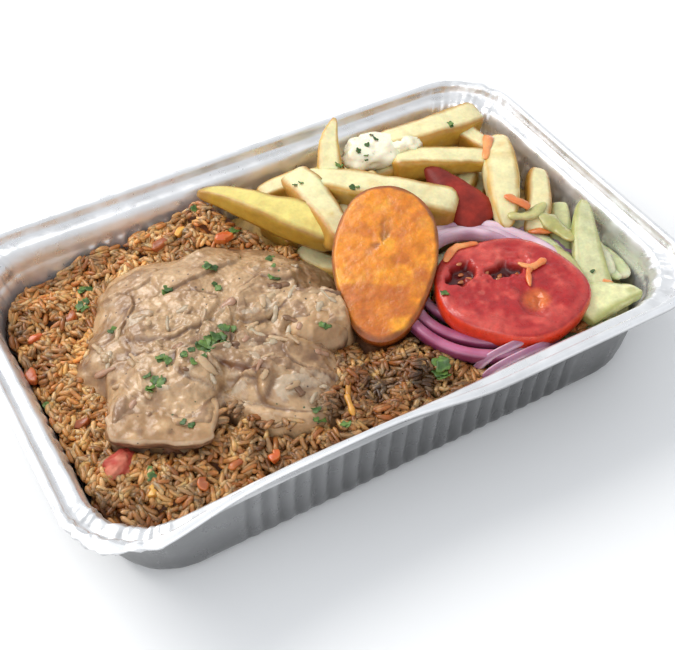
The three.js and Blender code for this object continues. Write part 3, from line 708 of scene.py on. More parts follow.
def make_rice(heights, over):
    """Grains laid one on another wherever nothing stands over the rice."""
    rng = np.random.default_rng(7)
    piece = Piece()
    grid = coated_rice(heights.x[:, None], heights.y[None, :])
    heights.z = np.where(grid > 0.5, np.maximum(heights.z, over.z), heights.z)
    spots = strewn(rng, 60000, (-101, 41), (-60.5, 60.5), (4.2, 6.6),
                   lambda x, y: in_rice(x, y, 26.0, np.where(y < -50, 1.0, 0.5), -2))
    x, y = spots[:, 0], spots[:, 1]
    coats, below, level = coated_rice(x, y), over.at(x, y), rice_top(x, y)
    bound = smooth(0, 0.4, coats) * smooth(-4, 0.5, below - level)
    level = np.where(coats > 0.5, np.maximum(level, below - 0.5), level)
    bare = below - level < 1.4
    # Painted shade where the rice lies low between the sauce and the onions, and in hollows by the sauce's
    # front edge; the rice is also darker towards the front.
    shade = hills(x, y, (6, -40, 24, 16, 0.62), (-45, -37, 7, 8, 0.4))
    tones = (0.95 + 0.4 * noise(plane(x, y), 8, 31) - shade) * (1 - 0.32 * smooth(24, 46, -y))
    tips = np.array([0.9, 1.0, 1.0, 1.0, 0.94])[:, None, None]
    for (x, y, heading, length), top, tone, coat in zip(*(v[bare] for v in (spots, level, tones, bound))):
        width = rng.uniform(1.65, 2.15)
        rest = heights.lay(x, y, heading, length, width, width * 0.85, fill=1.2, ceiling=top + 2.0)
        if rest is None:
            continue
        shape = grain(length, width, rng.uniform(-0.6, 0.6), rng)
        tilt, roll = math.degrees(math.atan(rest[1])), rng.uniform(-60, 60)
        shade = light(GRAIN_COLOURS[rng.choice(5, p=[0.3, 0.26, 0.18, 0.18, 0.08])]) * tone
        shade = mix(shade * (1 + 0.16 * rng.uniform(-1, 1)), light((172, 132, 94)) * tone, 0.9 * coat)
        piece.rows(placed(shape, (x, y, rest[0]), math.degrees(heading), tilt, roll), shade * tips)
    piece.object("rice_grains", "cooked_rice", "rice", "rice_heap")


# ---- Sauce and beef ----
SAUCE_PALE, SAUCE_TAN, SAUCE_BROWN = (192, 158, 118), (162, 127, 90), (98, 62, 38)
# Slices that lie under the sauce: middle, half sizes, heading, and how far each stands up.
SLICES = [
    (-66, -14, 18, 11, -38, 2.6), (-48, -20, 15, 7, -45, 2.4), (-28, -36, 14, 8, -30, 2.2),
    (-22, 2, 13, 8, 20, 1.8), (-52, 10, 15, 9, -20, 1.6), (-70, 22, 10, 8, 40, 1.5),
    (-34, 28, 16, 7, 8, 1.6), (-42, -4, 10, 5, 60, 1.4), (-12, 14, 9, 7, -50, 1.6),
    (-34, -38, 17, 8, -32, 2.6), (-58, 34, 11, 5, -15, 1.2), (-18, -26, 10, 6, -50, 1.6),
    (-40, -22, 12, 5, -40, 2.0),
]
# Where one layer of the sauce ends above the next: both ends, and the drop. A painted shadow lies along its
# line.
LEDGE = ((-48.5, -16.5), (-37.0, -29.0), 1.5)
# Middle, half sizes, heading, pitch, how domed, and how far forward the sauce runs over it.
BEEF = {
    "beef_slice_front": ((-71, -25.5, 33.4), (16.5, 9.5, 2.5), -30, 0, 0.25, -0.6),
    "beef_slice_middle": ((-36.5, -33, 29.6), (17, 7.5, 4.2), -44, -3, 0.3, -1.6),
    "beef_lump_right": ((-11, -13.5, 33.5), (11.2, 10, 7), -20, 0, 0.85, -0.6),
}


def ledge(x, y):
    """How far the sauce drops in front of the ledge, and how near its line is, for the painted shadow along
    it.
    """
    (ax, ay), (bx, by), drop = LEDGE
    along, behind = turned(x, y, ax, ay, math.degrees(math.atan2(by - ay, bx - ax)))
    along, ahead = along / math.hypot(bx - ax, by - ay), -behind
    within = smooth(-0.15, 0.15, along) * (1 - smooth(0.85, 1.15, along))
    return (drop * within * smooth(-0.5, 0.5, ahead) * (1 - smooth(3, 9, ahead)),
            within * np.exp(-(((ahead - 0.3) / 0.8) ** 2)))


def sauce_height(x, y):
    share = np.minimum(sauce_share(x, y), 1.3)
    lumps = hills(x, y, (-58, -18, 16, 12, 2.5), (-30, 18, 20, 18, 2), (-14, 30, 16, 12, -3))
    rough = ripple(x, y, 4.2, 0.6) + lumps
    return 25 + 13 * (1 - share**4.2) + rough * np.maximum(1 - share, 0) ** 0.3


def over_slices(x, y, flat, z):
    """The sauce's height where slices lie under it, and how strong the painted shade is in the gaps round
    them.
    """
    gap_shade = 0 * z
    for k, (*place, tall) in enumerate(SLICES):
        q = oval(x, y, *place, 3) * (1 + 0.16 * noise(flat, 7, 40 + k))
        z = z + 0.85 * tall * (1 - smooth(0.92, 1.04, q))
        gap_shade = np.maximum(gap_shade, smooth(0.95, 1.01, q) * (1 - smooth(1.04, 1.14, q)))
    return z, gap_shade


def over_beef(x, y, flat, z):
    """The sauce's height where it runs up over the back of each piece of beef."""
    for (cx, cy, cz), (a, b, tall), heading, _, _, forward in BEEF.values():
        back = turned(x, y, cx, cy, heading)[1] / b + 0.35 * noise(flat, 5, 69)
        q = oval(x, y, cx, cy, a, b * 1.15, heading, 2.6)
        drape = (1 - smooth(0.85, 1.3, q)) * smooth(forward, forward + 0.5, back)
        z = z + drape * np.maximum(cz + tall * 0.96 + 0.3 - z, 0)
    return z


def small_bits(x, y, flat):
    """How far small pieces of meat and mushroom stand up under a thin coat, most of them in the
    lower half, and the hue of each."""
    rng = np.random.default_rng(19)
    bits, hue = np.zeros((2, *x.shape))
    for k in range(260):
        cx, cy = rng.uniform(-86, 2), rng.uniform(-42, 44)
        if rng.random() < 0.6 * smooth(0, 26, cy):
            continue
        a = rng.uniform(1.6, 6.0)
        q = oval(x, y, cx, cy, a, max(a * rng.uniform(0.15, 0.6), 0.8), rng.uniform(0, 180), 2.6)
        shape = 1 - smooth(0.72, 1.08, q + 0.15 * noise(flat, 2.5, 300 + k % 9))
        bits = np.maximum(bits, shape * rng.uniform(0.5, 1.2))
        hue = np.where(shape > 0.4, rng.uniform(-1, 1), hue)
    return bits, hue


def make_sauce():
    angle = circle(420)
    share = np.linspace(0.01, 1.06, 160)[:, None]
    r = sauce_reach(angle) * share
    x, y = SAUCE["at"][0] + r * np.cos(angle), SAUCE["at"][1] + r * np.sin(angle)
    flat = plane(x, y)
    z, gap_shade = over_slices(x, y, flat, sauce_height(x, y))
    z = over_beef(x, y, flat, z)
    bits, hue = small_bits(x, y, flat)
    rugged = 0.35 + 0.65 * (1 - smooth(-4, 24, y + 0.25 * x))
    ridges = 0.6 * (0.5 - np.abs(noise(flat * (1, 1.5, 1), 4.6, 61)))
    ridges = ridges + 0.5 * (0.5 - np.abs(noise(flat, 2.6, 68)))
    fine = noise(flat, 1.7, 66) + 0.5 * noise(flat, 0.9, 67)
    rough = 0.5 * fbm(flat, 9, 2, 62) + rugged * (0.6 * ridges + 0.65 * bits) + 0.26 * fine
    fall, line = ledge(x + 0.8 * noise(flat, 4, 65), y)
    z = z + (1 - smooth(0.9, 1.0, share)) * rough - fall
    # The tint: paler where the sauce is thick, with painted light on the ridges' crests; browner where it is
    # thin, with painted shade in the ridges' hollows and in the gaps round the slices.
    thick = fbm(flat, 9, 3, 63)
    low = smooth(-0.1, 0.4, -ridges) * 0.55 + gap_shade * 0.7 * smooth(-0.4, 0.3, noise(flat, 6, 64))
    shown = (bits > 0.3) * rugged
    tint = layered(SAUCE_TAN, (SAUCE_PALE, smooth(-0.3, 0.7, thick + 0.5 * ridges)),
                   (SAUCE_BROWN, np.clip(low * rugged + 0.3 * smooth(0.2, 1, -thick), 0, 0.85)),
                   ((150, 118, 92), 0.55 * smooth(0.2, 0.8, hue) * shown),
                   ((196, 184, 164), 0.5 * smooth(0.3, 0.9, -hue) * shown),
                   # Painted shadow under the ledge's overhang.
                   ((112, 66, 38), 0.85 * line))
    tint = tint * (1 - hills(x, y, (-46, -6, 24, 16, 0.2)))[..., None] * (1.0, 0.98, 0.96)
    floor = plane(x[-1], y[-1], z[-1] - 4)
    inner = floor * (0.5, 0.5, 1) + (SAUCE["at"][0] / 2, SAUCE["at"][1] / 2, 0)
    whole = Piece().rows([*plane(x, y, z), floor, inner], np.concatenate([tint, tint[-1:], tint[-1:]]))
    return whole.object("sauce", "cream_sauce", "sauce", "cream_sauce")


def make_beef(name, at, half, heading, pitch, dome, seed):
    """A slice or lump of beef, coated with sauce on top and brown and fibrous at the side."""
    c, s = ring_section(120, 4.5 if dome < 0.5 else 3.0)
    edge_at = plane(c * half[0], s * half[1])
    ragged = 1 + 0.07 * noise(edge_at, 7, seed) + 0.04 * noise(edge_at, 2.4, seed + 1)
    ex, ey = c * half[0] * ragged, s * half[1] * ragged
    places = [(t, 1 - dome * t ** (3.2 + 3 * (1 - dome)) - 0.25 * smooth(0.93, 1, t) ** 2)
              for t in np.linspace(0.03, 1, 30)]
    edge = places[-1][1]
    places += [(1.01, edge - 0.25), (1.0, edge - 0.5), (0.97, edge - 0.8), (0.94, -0.6), (0.9, -1),
               (0.5, -1), (0.1, -1)]
    rings = []
    for share, level in places:
        flat = plane(ex * share, ey * share, level * half[2])
        bump = 0.5 * noise(flat, 5, seed + 2) + 0.35 * noise(flat, 2.2, seed + 3)
        bump = bump + 0.15 * noise(flat, 1.1, seed + 4)
        flat[:, 2] += bump * (0.9 if level > edge - 0.1 else 0.3)
        strand = 0.35 * noise(flat * (0.4, 0.4, 1.6), 1.5, seed + 5) * (share > 0.92)
        flat = flat + plane(strand * c, strand * s)
        coat = layered(SAUCE_TAN, (SAUCE_PALE, smooth(-0.5, 0.5, noise(flat, 4, seed + 6))),
                       (SAUCE_BROWN, 0.5 * smooth(0.3, 0.8, noise(flat, 3, seed + 8))),
                       ((206, 180, 152), 0.6 * smooth(0.92, 0.98, share) * (level > edge - 0.2)))
        fibre = noise(flat * (0.5, 0.5, 2), 1.3, seed + 7)
        meat = mix((84, 56, 42), (160, 120, 92), smooth(-0.5, 0.6, fibre))
        patchy = smooth(-0.1, 0.3, noise(flat, 4, seed + 9)) * (level > edge - 0.6) * dome
        cover = np.maximum(patchy, float(level > edge - 0.1))
        rings.append((flat, mix(meat, coat * (0.94, 0.9, 0.85), cover)))
    return Piece().rings(rings, at, heading, pitch).object(name + "_meat", "saucy_beef", "beef", name)


# Colours of the small pieces in the sauce: coated beef, bare beef, mushroom, browned edges.
SHRED_COLOURS = [((190, 160, 124), (168, 138, 104)), ((172, 132, 106), (156, 118, 92)),
                 ((186, 168, 142), (166, 146, 118)), ((132, 98, 70), (112, 80, 56))]


def make_shreds(over):
    """Shreds and crumbs half sunk in the sauce, more of them towards the front."""
    rng = np.random.default_rng(53)
    piece = Piece()
    spots = strewn(rng, 130, (-86, 4), (-46, 44), (2.5, 8), lambda x, y: sauce_share(x, y) < 0.93)
    for k, (x, y, heading, length) in enumerate(spots):
        if rng.random() < 0.9 * smooth(-16, 20, y + 0.2 * x):
            continue
        width, thick = rng.uniform(1.2, 2.6), rng.uniform(1.0, 1.6)
        z, slope = over.lay(x, y, heading, length, width, thick, steepest=0.6, fill=0.9 * thick)
        bend = 0.15 * rng.uniform(-1, 1)
        colours = SHRED_COLOURS[rng.choice(4, p=[0.56, 0.16, 0.18, 0.1])]
        lying_strip(piece, (x, y, z), heading, slope, length, bend, width, thick, colours, 900 + k,
                    n=12, around=8)
    piece.object("sauce_shreds", "saucy_beef", "beef")


# ---- Plantain ----
PLANTAIN = {"length": 59.0, "width": 35.5, "thick": 8.0, "egg": 0.16,
            "place": ((19.5, -7.5, 41.5), 56, 19, -5)}
GOLD, DEEP, BURNT = (220, 132, 12), (176, 86, 10), (112, 54, 14)


def make_plantain():
    a = circle(150)
    half_l, half_w, half_t = (PLANTAIN[side] / 2 for side in ("length", "width", "thick"))
    wobble = 1 + 0.018 * noise(plane(np.cos(a) * 9, np.sin(a) * 9), 4, 71)
    ex = half_l * np.cos(a) * wobble
    ey = half_w * np.sin(a) * (1 + PLANTAIN["egg"] * np.cos(a)) * wobble
    rings = []
    for t in np.linspace(0.02, 1, 46):
        x, y = ex * t, ey * t
        flat = plane(x, y)
        z = half_t * (1 - 0.16 * t**2) - 0.9 * smooth(0.93, 1.0, t)
        z = z + 0.22 * fbm(flat, 4.5, 3, 72) * (1 - smooth(0.9, 1, t))
        # The three-rayed scar off the middle.
        around = np.arctan2(y - 1, x - 6)
        rays = smooth(-0.5, 0.9, np.cos(3 * around + 0.6) + 0.9 * noise(flat, 3, 79))
        middle = 1 - smooth(0.1, 1.0, np.hypot((x - 6) / 15, (y - 1) / 9))
        scar = rays * middle * smooth(-0.7, 0.3, noise(flat, 3, 73))
        streak = noise(plane(4 * np.cos(around), 4 * np.sin(around), 0.08 * np.hypot(x, y)), 0.9, 85)
        rim = 0.85 * smooth(0.93, 0.99, t + 0.025 * noise(flat, 3, 78))
        mottled = noise(flat, 7, 74) + 0.5 * noise(flat, 2.2, 75)
        rings.append((plane(x, y, z - 0.5 * scar), layered(
            GOLD, ((232, 158, 34), smooth(0.0, 0.9, mottled)),
            (DEEP, 0.75 * smooth(0.1, 0.8, noise(flat, 6, 76) + 0.35 - (x + 12) / 34)),
            (DEEP, 0.4 * smooth(0.1, 0.7, streak) * smooth(0.15, 0.5, t)),
            (BURNT, np.clip(0.7 * scar + rim, 0, 1)))))
    for k, (drop, out) in enumerate(((0.2, 1.004), (0.45, 1.0), (0.7, 0.99), (0.9, 0.975), (1.0, 0.95))):
        fried = mix(BURNT, DEEP, 0.3 + 0.3 * noise(plane(ex, ey, 5.0 * k), 3, 77))
        rings.append((plane(ex * out, ey * out, half_t * (1 - 2 * drop)), fried))
    rings += [(plane(ex * t, ey * t, -half_t), DEEP) for t in (0.6, 0.2)]
    whole = Piece().rings(rings, *PLANTAIN["place"])
    return whole.object("plantain", "fried_plantain", "plantain", "plantain_slice")


# ---- Chips ----
CHIP = ((226, 216, 166), (198, 154, 58), (162, 104, 34))
# Chips that stand out of the heap, as in the CAD: middle, heading, pitch, size, bow, taper,
# gold, and how blunt the ends are.
TOP_CHIPS = [
    ((74, 47, 40), -3, 0, (44, 13, 11), 1, 0.2, 0.9, 18),
    ((31, 47, 43), 57, 25, (36, 11, 8), 0, 0.78, 0.6, 18),
    ((16, 31, 38), -95, 2, (42, 12, 11), 1, 0.2, 1.3, 18),
    ((37, 26, 38.5), -45, 0, (58, 11.5, 10), 1.5, -0.4, 0.8, 18),
    ((67, 30, 39.5), -24, 2, (36, 11, 9), 1, 0.3, 0.8, 18),
    ((88, 36, 38.5), -78, -4, (28, 9, 8), 0, 0.3, 1.3, 18),
    ((83.5, 12, 38), 57, 6, (48, 13, 8), 2, 0.15, 0.3, 2.2),
    ((89, -1, 34), 54, 10, (32, 10, 9), 1, 0.4, 1.5, 18),
]
# The large pale wedge: middle, heading, pitch, size, bow and taper.
WEDGE = ((-1.5, 38, 38.8), 130, 5, (54, 14, 10), 1, 0.62)
WEDGE_COLOURS = ((220, 202, 116), (184, 144, 48), (146, 96, 32))


def make_chips(heights):
    piece = Piece()
    rng = np.random.default_rng(17)
    made = itertools.count()
    for x, y, heading, length in strewn(rng, 2500, (-2, 98), (0, 58), (16, 36),
                                        lambda x, y: in_chips(x, y, 28.0, 4, 4, 3)):
        rest = heights.lay(x, y, heading, length, width=9, thick=7, steepest=0.35, fill=1.2,
                           ceiling=chips_top(x, y) + 2.5)
        if rest is not None:
            soft_stick(piece, (x, y, rest[0]), math.degrees(heading), math.degrees(math.atan(rest[1])),
                       (length, rng.uniform(7, 11), rng.uniform(5.5, 8)), rng.uniform(-1, 1),
                       rng.uniform(0.1, 0.5), next(made), rng.uniform(0.5, 1.2), CHIP)
    for k, (*stick, gold, blunt) in enumerate(TOP_CHIPS):
        soft_stick(piece, *stick, 50 + k, gold, CHIP, blunt)
    return piece.object("chips", "fried_chip", "chip", "chips_heap")


def make_wedge():
    piece = Piece()
    soft_stick(piece, *WEDGE, 90, 0.8, WEDGE_COLOURS)
    return piece.object("potato_wedge", "fried_chip", "chip", "chip_wedge")


# ---- Tomato ----
TOMATO = {"radius": 26.0, "short": 22.6, "half": 4.5, "deepest": 3.4,
          "place": ((51, -36.5, 37.6), -36, 0, 2)}
FLESH, PALE_FLESH, SKIN = (164, 24, 26), (206, 84, 72), (206, 54, 22)
# Seed cavities: middle, half sizes and turn, in the slice's own frame, and what share of the
# deepest each has.
CAVITIES = [(-17, 3, 6.5, 4.0, 60, 1.0), (-2.5, 6.5, 7.0, 4.2, 30, 1.0), (6.5, -7.5, 6.5, 3.6, -60, 0.3)]


def cavity_depth(x, y):
    depth = 0 * x
    for k, (*place, deep) in enumerate(CAVITIES):
        q = oval(x, y, *place) + 0.4 * noise(plane(x, y), 2.6, 80 + k)
        depth = np.maximum(depth, deep * (1 - smooth(0.5, 1.15, q)))
    return depth


def make_tomato():
    a, half = circle(180), TOMATO["half"]
    wobble = 1 + 0.02 * np.sin(5 * a + 1) + 0.012 * noise(plane(np.cos(a) * 8, np.sin(a) * 8), 3, 91)
    ex, ey = TOMATO["radius"] * np.cos(a) * wobble, TOMATO["short"] * np.sin(a) * wobble
    rings = []
    for t in np.linspace(0.015, 0.965, 60):
        x, y = ex * t, ey * t
        flat = plane(x, y)
        depth = cavity_depth(x, y)
        pulp = smooth(-0.2, 0.6, noise(flat, 7, 95)) * (1 - smooth(0.6, 0.85, t))
        z = half - TOMATO["deepest"] * depth + 0.3 * fbm(flat, 6, 3, 92)
        z = z - 0.7 * smooth(0.86, 0.97, t) ** 2
        z = z + pulp * (0.5 * (0.5 - np.abs(noise(flat, 2.2, 96))) + 0.3 * noise(flat, 1.3, 97))
        marbled = smooth(-0.3, 1.2, noise(flat, 5, 93) + 0.5 * noise(flat, 1.6, 94))
        rings.append((plane(x, y, z), layered(
            FLESH, (PALE_FLESH, 0.75 * marbled),
            (PALE_FLESH, 0.35 * smooth(0.8, 0.9, t) * (1 - smooth(0.93, 0.97, t))),
            ((214, 120, 104), 0.6 * smooth(0.35, 0.8, noise(flat, 2.4, 98)) * (x < -4) * (1 - t)),
            ((222, 120, 40), 0.75 * (1 - smooth(0.4, 1.2, np.hypot(x - 8, y + 6) / 5))),
            # Darker red, then near black, the deeper a cavity goes: the gel's own deeper red and painted
            # shade in the hollow.
            ((132, 22, 18), smooth(0.1, 0.5, depth) * 0.8),
            ((62, 10, 10), 0.85 * smooth(0.5, 0.95, depth)))))
    rings += [(plane(ex * t, ey * t, z), tint) for t, z, tint in (
        (0.985, half - 1.3, SKIN), (1.0, half - 2.6, SKIN), (1.0, 0, SKIN), (0.99, -half * 0.45, SKIN),
        (0.95, -half * 0.85, SKIN), (0.86, -half, SKIN), (0.6, -half, FLESH), (0.2, -half, FLESH))]
    whole = Piece().rings(rings, *TOMATO["place"])
    return whole.object("tomato", "tomato_flesh", "tomato", "tomato_slice")


def make_seeds():
    """Seeds in the two deep cavities."""
    piece = Piece()
    rng = np.random.default_rng(23)
    girth = np.array([0.3, 0.8, 1.1, 1.3, 1.3, 1.0, 0.4])
    seed = sweep(np.linspace(-1.3, 1.3, 7)[:, None] * (1, 0, 0), girth * 1.25, girth * 0.6, 8)
    for k in range(9):
        cx, cy, long, short, heading, _ = CAVITIES[k % 2]
        u, v = rng.uniform(-0.8, 0.8, 2)
        x, y, _ = placed((u * long, v * short, 0), (cx, cy, 0), heading)
        z = TOMATO["half"] - TOMATO["deepest"] * cavity_depth(x, y) + 0.3
        local = placed(seed, (x, y, z), rng.uniform(0, 360), rng.uniform(-20, 20))
        piece.rows(placed(local, *TOMATO["place"]), light((190, 110, 60)) * rng.uniform(0.7, 1.1))
    piece.object("tomato_seeds", "tomato_seed", "tomato")


# Soft lumps: slot, CAD nodes, middle, half sizes, heading, pitch, two colours, look, how rough,
# seed, how square and how much wider at the +X end.
CREAM = ((242, 236, 210), (228, 218, 186))
LUMPS = {
    "tomato_wedge": ("tomato", ["red_tomato_wedge"], (62.8, 13.8, 38.8), (16.5, 7.2, 4.4), -80, -10,
                     ((150, 42, 28), (116, 30, 20)), "red_wedge", 0.07, 131, 3.0, 0.6),
    "tomato_piece": ("tomato", ["tomato_bit"], (-88, -30, 28.0), (5.4, 4.3, 3.5), 20, 0,
                     ((172, 66, 52), (206, 124, 100)), "red_wedge", 0.2, 135, 2.2, 0.0),
    "dollop": ("cream", ["garlic_sauce"], (48, 46.5, 41.5), (13, 8.5, 5.5), -20, 0,
               CREAM, "garlic_cream", 0.22, 141, 2.2, 0.0),
    "dollop_end": ("cream", [], (59, 42, 43.8), (6.5, 4, 2.6), -10, 0,
                   CREAM, "garlic_cream", 0.22, 147, 2.2, 0.0),
}


def make_lump(name, slot, nodes, at, half, heading, pitch, colours, look, rough, seed, square, flare):
    c, s = ring_section(64, square)
    lat = np.linspace(-0.97, 0.97, 40)[:, None] * math.pi / 2
    shape = plane(c * np.cos(lat), s * np.cos(lat), np.sin(lat)) * half
    shape[..., 1] *= 1 + flare * shape[..., 0] / half[0]
    bulge = rough * (fbm(shape, max(half) * 0.55, 3, seed) + 0.3 * noise(shape, 2.2, seed + 9))
    shape = shape * (1 + bulge)[..., None]
    tint = mix(*colours, smooth(-0.3, 0.6, noise(shape, max(half) * 0.4, seed + 1)))
    return Piece().rows(placed(shape, at, heading, pitch), tint).object(name, look, slot, *nodes)


# ---- Onion ----
# Bands: node, middle, outer radius, wall, height, roll, and the part of the circle that is there.
ONION = [
    ("onion_ring_outer", (47, -27, 32.2), 32.3, 4.3, 5.6, -1, (0, 360)),
    ("onion_ring_middle", (47.8, -26, 32.8), 28, 4.2, 5.0, -2, (0, 360)),
    ("onion_ring_inner", (49, -24, 33.0), 23.5, 3.4, 4.2, -3, (0, 360)),
    ("onion_ring_front", (41.2, -55.6, 23.6), 15, 2.7, 2.4, -72, (186, 354)),
]
# The front ring is two thin bands; this is the way from one to the other.
FRONT_TWIN = (0, 3.9, 1.3)


def onion_band(piece, at, radius, wall, tall, roll, span, seed):
    """An arc of one onion layer, purple outside and pale within."""
    a = np.radians(np.linspace(*span, 150))[:, None]
    c, s = ring_section(14, 3.2)
    full = span == (0, 360)
    keep = 1 if full else rounded_ends(150, 40, 0.3)[:, None]
    lift = 0.5 * np.sin(2 * a + seed * 1.7) + (3.2 if full else 0) * smooth(0.3, 1, np.sin(a))
    out = radius - wall / 2 + 0.5 * np.sin(3 * a + seed) + 0.35 * np.sin(5 * a + 2 * seed)
    out = out + c * (wall / 2) * keep + s * 0.5
    rows = plane(out * np.cos(a), out * np.sin(a), lift + s * (tall / 2) * keep)
    tint = layered((224, 196, 208),
                   ((190, 148, 170), smooth(-0.4, 0.5, noise(rows * (1, 1, 0.3), 6, seed))),
                   ((132, 58, 98), 0.8 * smooth(0.6, 0.98, np.broadcast_to(c, rows.shape[:2]))))
    # The bands deep between the rice and the tomato get painted shade: darker and browner.
    shade = smooth(46, 26, rows[..., 0] + at[0]) * smooth(-18, -38, rows[..., 1] + at[1]) * full
    tint = tint * (1 - shade[..., None] * (0.38, 0.76, 0.62))
    points = placed(rows, at, 0, 0, roll)
    if full:
        faces = grid_faces(150, 14, True) % (149 * 14)
        piece.add(points[:-1], [faces], tint[:-1])
    else:
        piece.rows(points, tint)


def make_onions(over):
    for k, (node, at, *band) in enumerate(ONION):
        piece = Piece()
        for shift in [(0, 0, 0), FRONT_TWIN][:1 + (node == "onion_ring_front")]:
            onion_band(piece, np.add(at, shift), *band, k + 1)
        over.cover(piece.object(node + "_band", "onion_flesh", "onion", node))


# ---- Salad ----
RUST, GOLDEN = ((150, 76, 34), (184, 104, 48)), ((214, 160, 62), (180, 120, 40))
CUCUMBER = ((192, 187, 128), (166, 162, 92))
ORANGE = ((194, 90, 34), (210, 120, 54))
CARROT = ((232, 152, 88), (214, 118, 58))
ONION_STRIP = ((216, 186, 206), (170, 120, 158))
CABBAGE = ((228, 226, 190), (196, 204, 150))
# Sticks on top: middle, heading, pitch, size, bow, taper and colour.
TOP_STICKS = [((90, -32, 34.5), 60, 14, (44, 12, 6), 1, 0.62, (206, 206, 160)),
              ((90, -14, 31), 60, 10, (24, 8, 6), 0, 0.2, (206, 206, 150)),
              ((78.6, -54.6, 35.4), -8, 0, (24, 14, 5), 0.5, 0.5, (222, 220, 166))]


def make_salad(heights):
    piece = Piece()
    rng = np.random.default_rng(29)
    # Width, thickness and colours.
    kinds = [(7, 4, CUCUMBER), (4.5, 2, CABBAGE), (3.4, 1.6, ONION_STRIP), (2.2, 1.6, CARROT)]
    made = itertools.count(100)
    for x, y, heading, length in strewn(rng, 2500, (22, 99), (-59, 0), (13, 28),
                                        lambda x, y: in_salad(x, y, 26.0, 2.5, 3)):
        kind = kinds[rng.choice(4, p=[0.42, 0.34, 0.12, 0.12])]
        ceiling = salad_top(x, y) + (5 if x > 74 and y > -38 else 1.5)
        rest = heights.lay(x, y, heading, length, *kind[:2], steepest=0.5, fill=0.6, ceiling=ceiling)
        if rest is not None:
            lying_strip(piece, (x, y, rest[0]), heading, rest[1], length, rng.uniform(-0.16, 0.16),
                        *kind, next(made))
    for k, (*stick, pale) in enumerate(TOP_STICKS):
        soft_stick(piece, *stick, 70 + k, 0.4, (pale, (172, 174, 104), (142, 140, 70)))
    return piece.object("salad", "salad_flesh", "cucumber", "salad_heap")


# Bits in the rice: middle, heading, length, width, thickness and colours.
RICE_BITS = [
    (-18, 39, 20, 5.5, 4.2, 3.4, ORANGE), (-98, 19, -60, 5.0, 4.0, 3.2, ORANGE),
    (-46, -50, 40, 4.0, 2.8, 2.4, ORANGE), (-78, 38, 10, 4.0, 3.0, 2.4, RUST),
    (-39, 49, -10, 6.0, 3.4, 2.4, RUST), (-14, -40, 60, 11, 1.8, 1.6, GOLDEN),
    (-18, -48, 75, 9, 1.8, 1.6, GOLDEN), (-92, -8, 30, 5, 3.0, 2.6, RUST),
    (-84, -45, 80, 4, 2.6, 2.2, GOLDEN), (-58, -48, 10, 5, 2.4, 2.0, RUST),
    (-92, 34, -30, 4, 2.6, 2.2, ORANGE), (-30, 51, 15, 5, 2.6, 2.2, GOLDEN),
    (-70, -50, 100, 4, 2.8, 2.2, RUST),
]
# Shreds on the salad and beside it: three points along each, width and colours.
SHREDS = [
    ((37, -17.5), (44, -13.5), (52, -15.5), 3.0, CARROT), ((58, -30), (61, -34), (67, -33.5), 2.2, CARROT),
    ((61, -34), (58, -36), (55, -41), 1.9, CARROT), ((77, -12), (80, -15), (85, -17), 2.8, CARROT),
    ((75, 1), (78, -3), (81, -7), 3.6, CARROT), ((83, -46), (85, -48), (88, -50), 2.2, CARROT),
    ((89, -45), (92, -47), (94, -48), 2.2, CARROT), ((80, 20), (86, 27), (90, 32), 3.4, CARROT),
    ((83, -10), (86, -18), (85, -27), 6.0, CUCUMBER), ((75, -10), (80, -18), (81, -29), 5.0, CABBAGE),
    ((72, -6), (80, -9), (88, -7), 4.0, CUCUMBER), ((95, -44), (98, -38), (98, -28), 5.5, CABBAGE),
    ((80.5, -22), (79, -33), (76.5, -45), 4.2, CUCUMBER),
]


def make_bits(heights):
    bits, shreds = Piece(), Piece()
    for k, (x, y, heading, length, width, thick, colours) in enumerate(RICE_BITS):
        z = heights.at(x, y)
        if length < 2 * width:
            soft_stick(bits, (x, y, z + 0.1 * thick), heading, 8, (length, width, thick), 0, 0.3,
                       700 + k, 0.3, (*colours, colours[1]))
        else:
            lying_strip(bits, (x, y, z + 0.25 * thick), rad(heading), 0, length, 0, width, thick,
                        colours, 700 + k, lift=0.3)
    bits.object("rice_bits", "salad_flesh", "rice")
    for k, (*points, width, colours) in enumerate(SHREDS):
        x, y = np.transpose(points)
        under = np.maximum(heights.at(x, y), 27)
        strip(shreds, plane(x, y, 0.5 * (under + under.max()) + 0.7), width,
              1.3 if colours is CARROT else 2.2, colours, 740 + k)
    return shreds.object("salad_shreds", "salad_flesh", "cucumber")


# ---- Herbs ----
def leaf(piece, at, size, heading, tilt, seed):
    """One curled leaflet with lobes, thin and closed."""
    rng = np.random.default_rng(seed)
    a = circle(26)
    lobes = rng.choice([3, 4, 5])
    edge = size / 2 * (0.66 + 0.34 * np.abs(np.cos(lobes * a / 2 + rng.uniform(0, 3)))
                       + 0.08 * rng.uniform(-1, 1, 26)) * (1 - 0.25 * np.cos(a))
    curl = rng.uniform(0.03, 0.12)
    t = np.array([0.15, 0.45, 0.75, 1.0])[:, None]
    x, y = edge * t * np.cos(a), edge * t * np.sin(a) * 0.8
    z = curl * (x**2 - 0.6 * y**2) + 0.044 * size * np.sin(3 * a + seed) * t**2
    rows = np.concatenate([plane(x, y, z), plane(x, y, z - 0.22)[::-1]])
    shade = mix((92, 122, 50), (56, 86, 34), smooth(-0.4, 0.4, noise(rows, 2.2, seed)))
    piece.rows(placed(rows, at, heading, tilt, rng.uniform(-25, 25)), shade)


